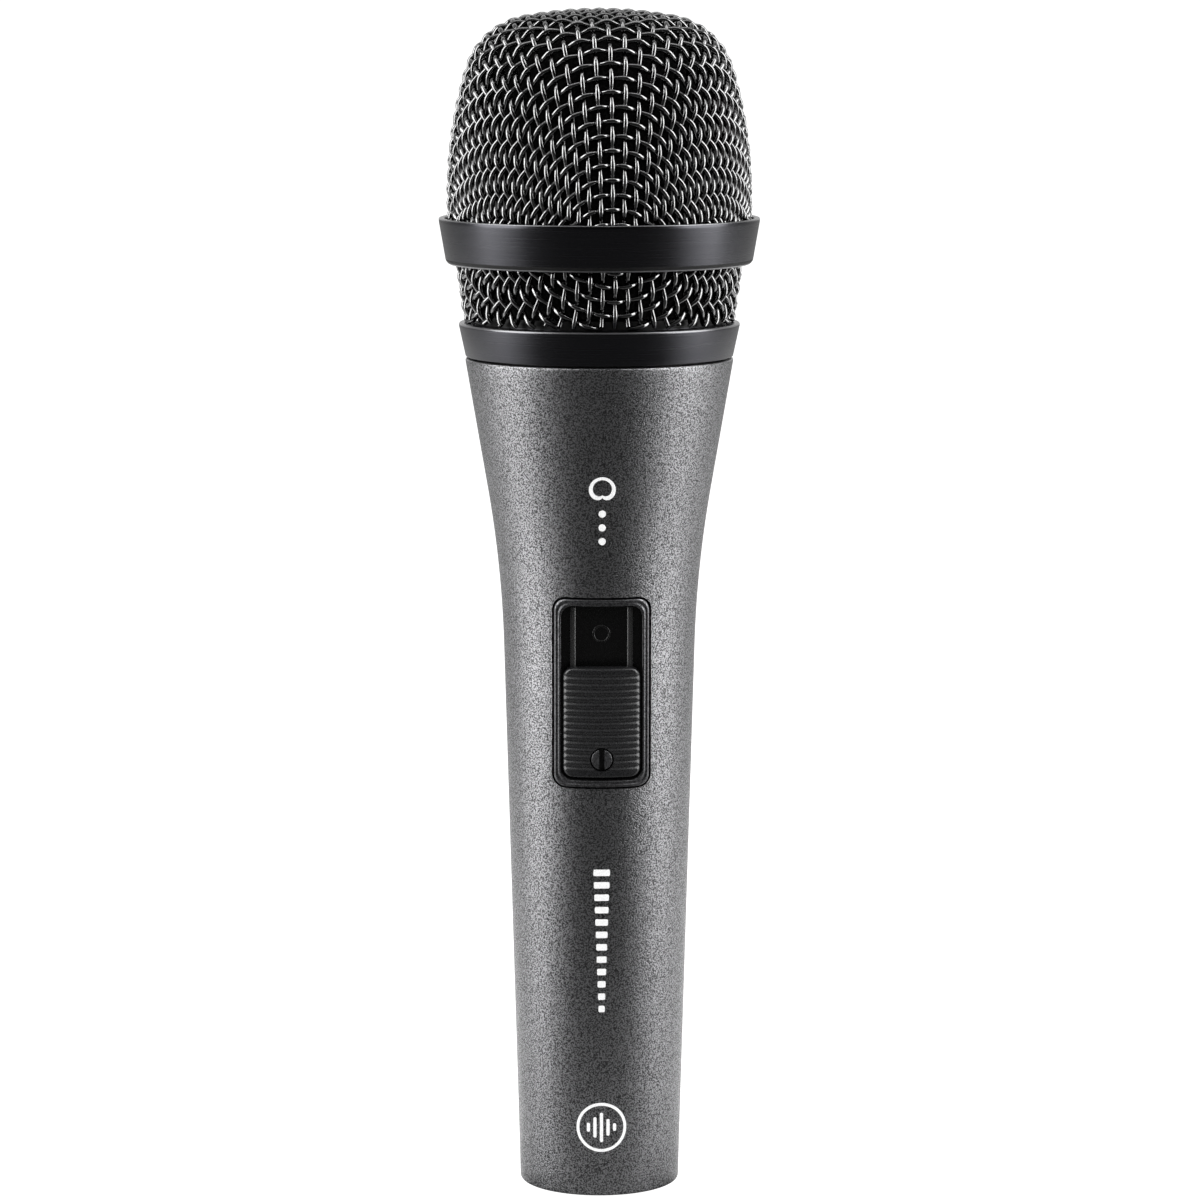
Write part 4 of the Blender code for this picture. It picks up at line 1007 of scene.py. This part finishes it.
inner = [(SOCKET, INSERT_TOP + GAP), (bore(INSERT_TOP + GAP), INSERT_TOP + GAP)]
inner += [(bore(height), height) for height in reversed(heights[::4]) if height > INSERT_TOP + MM]
outline = outer + inner + [(NECK_BORE, NECK_TOP)]
print("points on the handle's outline:", len(outline))

# %% [markdown]
# The outline is spun first. Then each vertex of the neck is drawn in by a wave that follows its
# height and its angle together, which is what makes a thread and not a row of grooves.

# %% Thread, window and holes
THREAD_TOP = NECK_TOP - 0.45 * MM
THREAD_FOOT = HANDLE_LENGTH + 0.25 * MM
RUN_OUT = 0.3 * MM
body = spun("handle", outline, SEGMENTS)
for vertex in body.vertices:
    radius = math.hypot(vertex.co.x, vertex.co.y)
    into = min(THREAD_TOP - vertex.co.z, vertex.co.z - THREAD_FOOT)
    if into > 0 and NECK_RADIUS - 0.1 * MM < radius < NECK_RADIUS + 0.01 * MM:
        turned = math.atan2(vertex.co.y, vertex.co.x) / (2 * math.pi)
        wave = 0.5 - 0.5 * math.cos(2 * math.pi * (vertex.co.z / THREAD_PITCH - turned))
        ease = min(1, into / RUN_OUT)
        factor = 1 - THREAD_DEPTH * wave * ease / radius
        vertex.co.x *= factor
        vertex.co.y *= factor

BEZEL_WIDTH = 14.3 * MM
BEZEL_LENGTH = 28.6 * MM
BEZEL_CORNER = 1.7 * MM
RIM = 1.05 * MM
PROUD = 0.35 * MM
BEZEL_DEPTH = 3.0 * MM
KEYWAY = (3.2 * MM, 1.8 * MM, 28.4 * MM)
HOLE_RADIUS = 1.5 * MM
HOLE_LENGTH = 7.2 * MM
half = BEZEL_WIDTH / 2 + GAP
wall_back = FACE - math.sqrt((FACE - WALL) ** 2 - half**2) + WALL
window = (2 * half, 2 * wall_back, BEZEL_LENGTH + 2 * GAP)
window = block(window, BEZEL_CORNER + GAP, segments=10)
window.transform(SWITCH)
keyway = block(KEYWAY, place=(0, SOCKET, 0))
low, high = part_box("insert_set_screw")
hole_at = (0, SOCKET + 3.3 * MM, (low[2] + high[2]) / 2)
hole = rod(HOLE_RADIUS, HOLE_LENGTH, "Y", hole_at)
body = cut(body, [window, keyway, hole])
piece = add_piece("painted_handle", body, PAINT, "handle", "speckled_grey_paint", "handle_body")
# The neck above the shoulder is near-black: painted shade in the gap under the collar.
also(piece, SHADE_BLACK, lambda face: face.center.z > HANDLE_LENGTH + 0.01 * MM)

# %% [markdown]
# ## Switch
# The frame round the switch follows the curve of the handle and stands a little proud of it.
# Rounded rectangles, each a little inside the last, make it; they are joined with faces and
# then bent onto the handle.

# %% Rounded rectangles


def rounded_rectangle(width, length, corner, sides=(10, 24), turns=8):
    """Points (x, z) round a rectangle, the same number whatever its size."""
    across, along = width / 2 - corner, length / 2 - corner
    middles = ((across, along), (-across, along), (-across, -along), (across, -along))
    made = []
    for number, (x, z) in enumerate(middles):
        start = number * math.pi / 2
        for step in range(turns + 1):
            angle = start + math.pi / 2 * step / turns
            made.append((x + corner * math.cos(angle), z + corner * math.sin(angle)))
        here = made[-1]
        next_x, next_z = middles[(number + 1) % 4]
        there = (here[0] + next_x - x, here[1] + next_z - z)
        count = sides[number % 2]
        for step in range(1, count):
            made.append(tuple(a + (b - a) * step / count for a, b in zip(here, there)))
    return made


# %% Lofts


def loft(name, loops, close):
    """Extrudes the first loop of (x, y, z) points to each next one, then closes or caps it."""
    sketch = bmesh.new()
    verts = [sketch.verts.new(point) for point in loops[0]]
    edges = [sketch.edges.new(pair) for pair in zip(verts, verts[1:] + verts[:1])]
    first_edges = edges
    for loop in loops[1:] + (loops[:1] if close else []):
        made = bmesh.ops.extrude_edge_only(sketch, edges=edges)["geom"]
        fresh = {item for item in made if isinstance(item, bmesh.types.BMVert)}
        verts = [
            next(e.other_vert(v) for e in v.link_edges if e.other_vert(v) in fresh) for v in verts
        ]
        for vert, point in zip(verts, loop):
            vert.co = point
        edges = [sketch.edges.get(pair) for pair in zip(verts, verts[1:] + verts[:1])]
    if close:
        bmesh.ops.remove_doubles(sketch, verts=sketch.verts, dist=MERGE / 10)
    else:
        for rim in (first_edges, edges):
            bmesh.ops.contextual_create(sketch, geom=rim)
    return mesh_from(name, sketch)


def sag(x, radius):
    """How far a round face falls back at a distance x from its middle line."""
    return radius - math.sqrt(radius * radius - x * x)


# %% Bezel
profile = [
    (0.0, BEZEL_DEPTH, 0),
    (0.0, -0.12 * MM, 1),
    (0.05 * MM, -0.26 * MM, 1),
    (0.14 * MM, -0.33 * MM, 1),
    (0.24 * MM, -PROUD, 1),
    (0.34 * MM, -0.33 * MM, 1),
    (0.44 * MM, -0.26 * MM, 1),
    (0.52 * MM, -0.21 * MM, 1),
    (0.60 * MM, -0.21 * MM, 1),
    (0.70 * MM, -0.26 * MM, 1),
    (0.82 * MM, -0.27 * MM, 1),
    (0.94 * MM, -0.22 * MM, 1),
    (1.02 * MM, -0.12 * MM, 1),
    (RIM, 0.03 * MM, 1),
    (RIM, BEZEL_DEPTH, 0),
]
loops = []
for inset, depth, bent in profile:
    corner = BEZEL_CORNER + (1.8 * MM - BEZEL_CORNER) * inset / RIM
    outline = rounded_rectangle(BEZEL_WIDTH - 2 * inset, BEZEL_LENGTH - 2 * inset, corner)
    loops.append([(x, depth + bent * sag(x, FACE + PROUD), z) for x, z in outline])
bezel = loft("switch_frame", loops, close=True)
bezel.transform(SWITCH)
add_piece("switch_frame", bezel, RIM_PAINT, "handle", "grey_rim_metal", "switch_bezel", sharp=50)

# %% [markdown]
# The slider's face is moulded with fifteen ribs. It is lofted along its length from many narrow
# stations: each one has the round of the handle across it, and the depth of the ribs and of
# the rounded ends at its height. Its pocket for the magnet and its lock's hole are cut last.

# %% Slider
SLIDER_WIDTH = BEZEL_WIDTH - 2 * RIM - 0.6 * MM
SLIDER_LENGTH = 16.7 * MM
SLIDER_CORNER = 1.5 * MM
SLIDER_PROUD = 0.45 * MM
SLIDER_DEPTH = 2.1 * MM
SLIDER_REST = -4.5 * MM
RIB_PITCH = 0.985 * MM
RIB_DEPTH = 0.22 * MM
RIBS = 15
END_EDGE = 0.42 * MM
SIDE_EDGE = 0.45 * MM
ACROSS = 32


def eased(distance, edge):
    """How far a quarter-round edge falls back at a distance from the side."""
    if distance >= edge:
        return 0
    return edge - math.sqrt(max(0, edge * edge - (edge - distance) ** 2))


def rib(height):
    """How deep the groove is at a height on the slider's face."""
    first = SLIDER_LENGTH / 2 - 0.85 * MM
    below = (first - height) / RIB_PITCH
    if below < 0 or below > RIBS:
        return 0
    part = below % 1
    return RIB_DEPTH * (0.5 - 0.5 * math.cos(2 * math.pi * part**0.8)) ** 1.3


STATIONS = 190
END_GAP = 0.02 * MM
loops = []
for number in range(STATIONS + 1):
    height = (SLIDER_LENGTH - 2 * END_GAP) * (number / STATIONS - 0.5)
    beyond = abs(height) - (SLIDER_LENGTH / 2 - SLIDER_CORNER)
    reach = SLIDER_WIDTH / 2
    if beyond > 0:
        reach += math.sqrt(max(0, SLIDER_CORNER**2 - beyond**2)) - SLIDER_CORNER
    to_end = SLIDER_LENGTH / 2 - abs(height)
    loop = [(-reach, SLIDER_DEPTH, height)]
    for step in range(ACROSS + 1):
        x = -reach * math.cos(math.pi * step / ACROSS)
        depth = -SLIDER_PROUD + sag(x, FACE + SLIDER_PROUD) + rib(height)
        depth += eased(reach - abs(x), SIDE_EDGE) + eased(to_end, END_EDGE)
        loop.append((x, min(depth, SLIDER_DEPTH - 0.3 * MM), height))
    loop.append((reach, SLIDER_DEPTH, height))
    loops.append(loop)
slider = loft("ribbed_slider", loops, close=False)
slider.transform(Matrix.Translation((0, 0, SLIDER_REST)))
LOCK_RADIUS = 1.6 * MM
LOCK_HEIGHT = SLIDER_REST - SLIDER_LENGTH / 2 + 2.8 * MM
lock_hole = rod(LOCK_RADIUS + 0.2 * MM, 8.4 * MM, "Y", (0, 0, LOCK_HEIGHT), 64)
in_slider = (0, SLIDER_DEPTH - 0.55 * MM, SLIDER_REST + SLIDER_LENGTH / 4)
pocket = block((6.6 * MM, 1.7 * MM, 5.6 * MM), place=in_slider)
slider = cut(slider, [lock_hole, pocket])
slider.transform(SWITCH)
add_piece("ribbed_slider", slider, BLACK_PLASTIC, "slider", "black_plastic", "switch_slider",
          sharp=40)

# %% [markdown]
# The lock is a small round stud with a slot for a coin or a screwdriver. The faces inside its
# slot are found before it leans with the switch, while they are still square to the axes.

# %% Lock screw
SLOT_WIDTH = 0.8 * MM
SLOT_DEPTH = 0.7 * MM
length = SLIDER_DEPTH + SLIDER_PROUD - 0.1 * MM
middle = (0, SLIDER_DEPTH - length / 2, LOCK_HEIGHT)
screw = rod(LOCK_RADIUS, length, "Y", middle, 64, bevel=0.25 * MM)
slot = (SLOT_WIDTH, 2 * SLOT_DEPTH, 4 * LOCK_RADIUS)
screw = cut(screw, [block(slot, place=(0, -SLIDER_PROUD, LOCK_HEIGHT))])
in_slot = [
    abs(face.center.x) < 0.45 * MM and -0.34 * MM < face.center.y < 0.3 * MM
    for face in screw.polygons
]
screw.transform(SWITCH)
piece = add_piece("lock_screw", screw, LOCK_METAL, "lock", "satin_black_metal", "slider_lock_screw")
# The faces inside the slot are near-black: painted shade.
also(piece, SHADE_BLACK, lambda face: in_slot[face.index])

# %% [markdown]
# The guide is the floor of the switch, moulded in one with its two rails, two posts for the
# board's screws and the two position marks: a ring for off, and a bar for on that the slider
# hides at rest. Its parts are joined with a union, so that it stays one solid.

# %% Guide
GUIDE_DEPTH = BEZEL_DEPTH + GAP
GUIDE_THICKNESS = 1.0 * MM
GUIDE_BACK = GUIDE_DEPTH + GUIDE_THICKNESS
RAIL_FRONT = SLIDER_DEPTH + GAP
RAIL_AT = 4.3 * MM
MARK_AT = 8.6 * MM
POST_AT = BEZEL_LENGTH / 2 - 2.6 * MM
POST_LENGTH = 2.6 * MM
POST_END = GUIDE_BACK + 2.1 * MM
middle = (0, GUIDE_DEPTH + GUIDE_THICKNESS / 2, 0)
guide = block((BEZEL_WIDTH, GUIDE_THICKNESS, BEZEL_LENGTH), BEZEL_CORNER, middle)
rail_depth = GUIDE_DEPTH + GUIDE_THICKNESS / 2 - RAIL_FRONT
rail = (0.9 * MM, rail_depth, BEZEL_LENGTH - 2 * RIM - 0.6 * MM)
additions = [
    block(rail, 0.25 * MM, (x, RAIL_FRONT + rail_depth / 2, 0), 3, all_round=True)
    for x in (-RAIL_AT, RAIL_AT)
]
corners = ((1.02, -0.3), (1.36, -0.3), (1.36, 0.28), (1.02, 0.28))
ring_mark = [(radius * MM, height * MM) for radius, height in corners]
ring_mark = spun("ring_mark", rounded(ring_mark, 0.14 * MM), 48)
upright = Matrix.Rotation(math.pi / 2, 4, "X")
ring_mark.transform(Matrix.Translation((0, GUIDE_DEPTH, MARK_AT)) @ upright)
bar_mark = (0.4 * MM, 0.6 * MM, 2.7 * MM)
additions.append(ring_mark)
additions.append(block(bar_mark, 0.08 * MM, (0, GUIDE_DEPTH, -MARK_AT), 3, all_round=True))
posts = [(0, POST_END, -POST_AT), (0, POST_END, POST_AT)]
for x, y, z in posts:
    additions.append(rod(1.9 * MM, POST_LENGTH, "Y", (x, y - POST_LENGTH / 2, z), 32))
guide = cut(guide, additions, "UNION")
guide = cut(guide, [rod(1.1 * MM, 4.2 * MM, "Y", post, 24) for post in posts])
# The rails and the sides of the marks take a lighter copy of the plastic, a painted highlight.
on_rail = [
    face.center.y < GUIDE_DEPTH - 0.02 * MM
    and (abs(abs(face.center.x) - RAIL_AT) < 0.5 * MM or abs(face.normal.y) < 0.9)
    for face in guide.polygons
]
guide.transform(SWITCH)
# The guide's floor takes the darker copy of the black plastic, painted shade in the recess.
piece = add_piece("slider_guide", guide, GUIDE_SHADED_PLASTIC, "handle", "black_plastic", "switch_guide")
also(piece, RAIL_HIGHLIGHT_PLASTIC, lambda face: on_rail[face.index])

# %% [markdown]
# ## Connector
# Three plated pins stand in a moulded insert, deep in the socket. Pin tips are rounded so that
# a plug finds them.

# %% Insert and pins
low, high = (Vector(corner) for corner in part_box("xlr_insert"))
middle = (0, 0, (low.z + high.z) / 2)
insert = rod(high.x, high.z - low.z, place=middle, segments=96, bevel=0.3 * MM)
pins = []
for number in (1, 2, 3):
    low, high = (Vector(corner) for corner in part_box(f"xlr_pin_{number}"))
    pins.append((number, (low + high) / 2, high.z - low.z, (high.x - low.x) / 2))
holes = [rod(radius + GAP, 2 * length, place=centre) for _, centre, length, radius in pins]
insert = cut(insert, holes)
add_piece("connector_insert", insert, BLACK_PLASTIC, "handle", "black_plastic", "xlr_insert")
for number, centre, length, radius in pins:
    outline = rounded(
        [(0, -length / 2), (radius, -length / 2), (radius, length / 2), (0, length / 2)],
        [0, 0.7 * radius, 0.2 * radius, 0],
        steps=8,
    )
    name = f"connector_pin_{number}"
    pin = spun(name, outline, 48, close=False)
    pin.transform(Matrix.Translation(centre))
    add_piece(name, pin, BRASS, "handle", "plated_brass", f"xlr_pin_{number}")

# %% [markdown]
# ## Printed marks
# Three marks are printed on the front in white. They are plain signs: a heart-shaped pickup
# pattern with three dots, a row of level bars, and a ring round five sound bars. Each is drawn
# flat, cut into narrow strips so that it can bend, and wrapped round the handle.

# %% Flat shapes
INK_THICKNESS = 0.05 * MM
INK_PROUD = 0.02 * MM
ASIDE = 0.013 * MM


def flat_shape(outline, hole=None):
    """A thin plate from a closed outline of (x, z) points, with an optional hole."""
    sketch = bmesh.new()
    rims = []
    for points in filter(None, (outline, hole)):
        verts = [sketch.verts.new((x, 0, z)) for x, z in points]
        rims += [sketch.edges.new((a, b)) for a, b in zip(verts, verts[1:] + verts[:1])]
    bmesh.ops.triangle_fill(sketch, use_beauty=True, use_dissolve=False, edges=rims)
    made = bmesh.ops.extrude_face_region(sketch, geom=sketch.faces[:])
    moved = [item for item in made["geom"] if isinstance(item, bmesh.types.BMVert)]
    bmesh.ops.translate(sketch, vec=(0, INK_THICKNESS, 0), verts=moved)
    return mesh_from("part", sketch)


def circle(radius, centre, count=48):
    angles = [2 * math.pi * k / count for k in range(count)]
    return [(centre[0] + radius * math.cos(a), centre[1] + radius * math.sin(a)) for a in angles]


def bar(width, length, centre, corner):
    outline = rounded_rectangle(width, length, corner, (1, 1), 4)
    return [(x + centre[0], z + centre[1]) for x, z in outline]


def printed(name, shapes):
    """Joins flat shapes, slices them finely and wraps them round the handle."""
    whole = bmesh.new()
    for outline, hole in shapes:
        part = flat_shape(outline, hole)
        whole.from_mesh(part)
        bpy.data.meshes.remove(part)
    for axis, step in ((0, 0.5 * MM), (2, 1.0 * MM)):
        values = [vertex.co[axis] for vertex in whole.verts]
        normal = Vector([float(k == axis) for k in range(3)])
        for number in range(math.floor(min(values) / step) + 1, math.ceil(max(values) / step)):
            bmesh.ops.bisect_plane(
                whole,
                geom=whole.verts[:] + whole.edges[:] + whole.faces[:],
                plane_co=normal * (number * step + ASIDE),
                plane_no=normal,
            )
    for vertex in whole.verts:
        x, y, z = vertex.co
        radius = handle_radius(z)
        angle = x / radius
        out = radius + INK_PROUD - y
        vertex.co = (out * math.sin(angle), -out * math.cos(angle), z)
    return add_piece(name, mesh_from(name, whole), WHITE_INK, "handle", "speckled_grey_paint")


# %% The three marks


def heart(size, centre, count=72):
    """A cardioid standing on its point, this tall."""
    made = []
    for k in range(count):
        angle = 2 * math.pi * k / count
        radius = size * 0.5 * (1 + math.cos(angle))
        x, z = radius * math.sin(angle), radius * math.cos(angle) - size * 0.45
        made.append((centre[0] + x, centre[1] + z))
    return made


HEART_HEIGHT = 109.3 * MM
LEVEL_FOOT = 29.4 * MM
LEVEL_PITCH = 1.92 * MM
LEVEL_BARS = 12
BADGE_HEIGHT = 10.85 * MM
BAR_EDGE = 0.2 * MM
heart_hole = heart(2.2 * MM, (0, HEART_HEIGHT + 0.05 * MM))
upper = [(heart(3.1 * MM, (0, HEART_HEIGHT)), heart_hole)]
upper += [(circle(0.55 * MM, (0, z * MM), 32), None) for z in (105.4, 103.3, 101.2)]
printed("pickup_pattern_mark", upper)
level = []
for number in range(LEVEL_BARS):
    width = (0.8 + 1.7 * (number + 1) / LEVEL_BARS) * MM
    height = LEVEL_FOOT + LEVEL_PITCH * number
    level.append((bar(width, 1.0 * MM, (0, height), BAR_EDGE), None))
printed("level_mark", level)
badge = [(circle(3.85 * MM, (0, BADGE_HEIGHT), 96), circle(3.4 * MM, (0, BADGE_HEIGHT), 96))]
for x, length in ((-2.0, 1.4), (-1.0, 3.2), (0.0, 4.6), (1.0, 2.6), (2.0, 1.2)):
    badge.append((bar(0.5 * MM, length * MM, (x * MM, BADGE_HEIGHT), BAR_EDGE), None))
printed("sound_mark", badge)

# %% [markdown]
# ## Inner parts
# The capsule and the electrics keep the frame's shapes, which are small and hidden. They take
# the worked finishes through their own material slots.

# %% Finishes of the inner parts
LOOKS = {
    "satin_black_metal": SATIN,
    "rubber": RUBBER,
    "black_plastic": BLACK_PLASTIC,
    "magnet_metal": MAGNET,
    "steel": STEEL,
    "green_board": BOARD,
    "switch_glass": GLASS,
    "red_wire": RED_WIRE,
    "white_wire": WHITE_WIRE,
    "plated_brass": BRASS,
    "clear_film": FILM,
    "enamelled_copper": COPPER,
    "grey_felt": FELT,
}
dressed = 0
for node in nodes.values():
    for place_in in node.material_slots:
        given = place_in.material.name.split(".")[0] if place_in.material else ""
        if given in LOOKS:
            place_in.material = LOOKS[given]
            dressed += 1
print("slots dressed:", dressed)
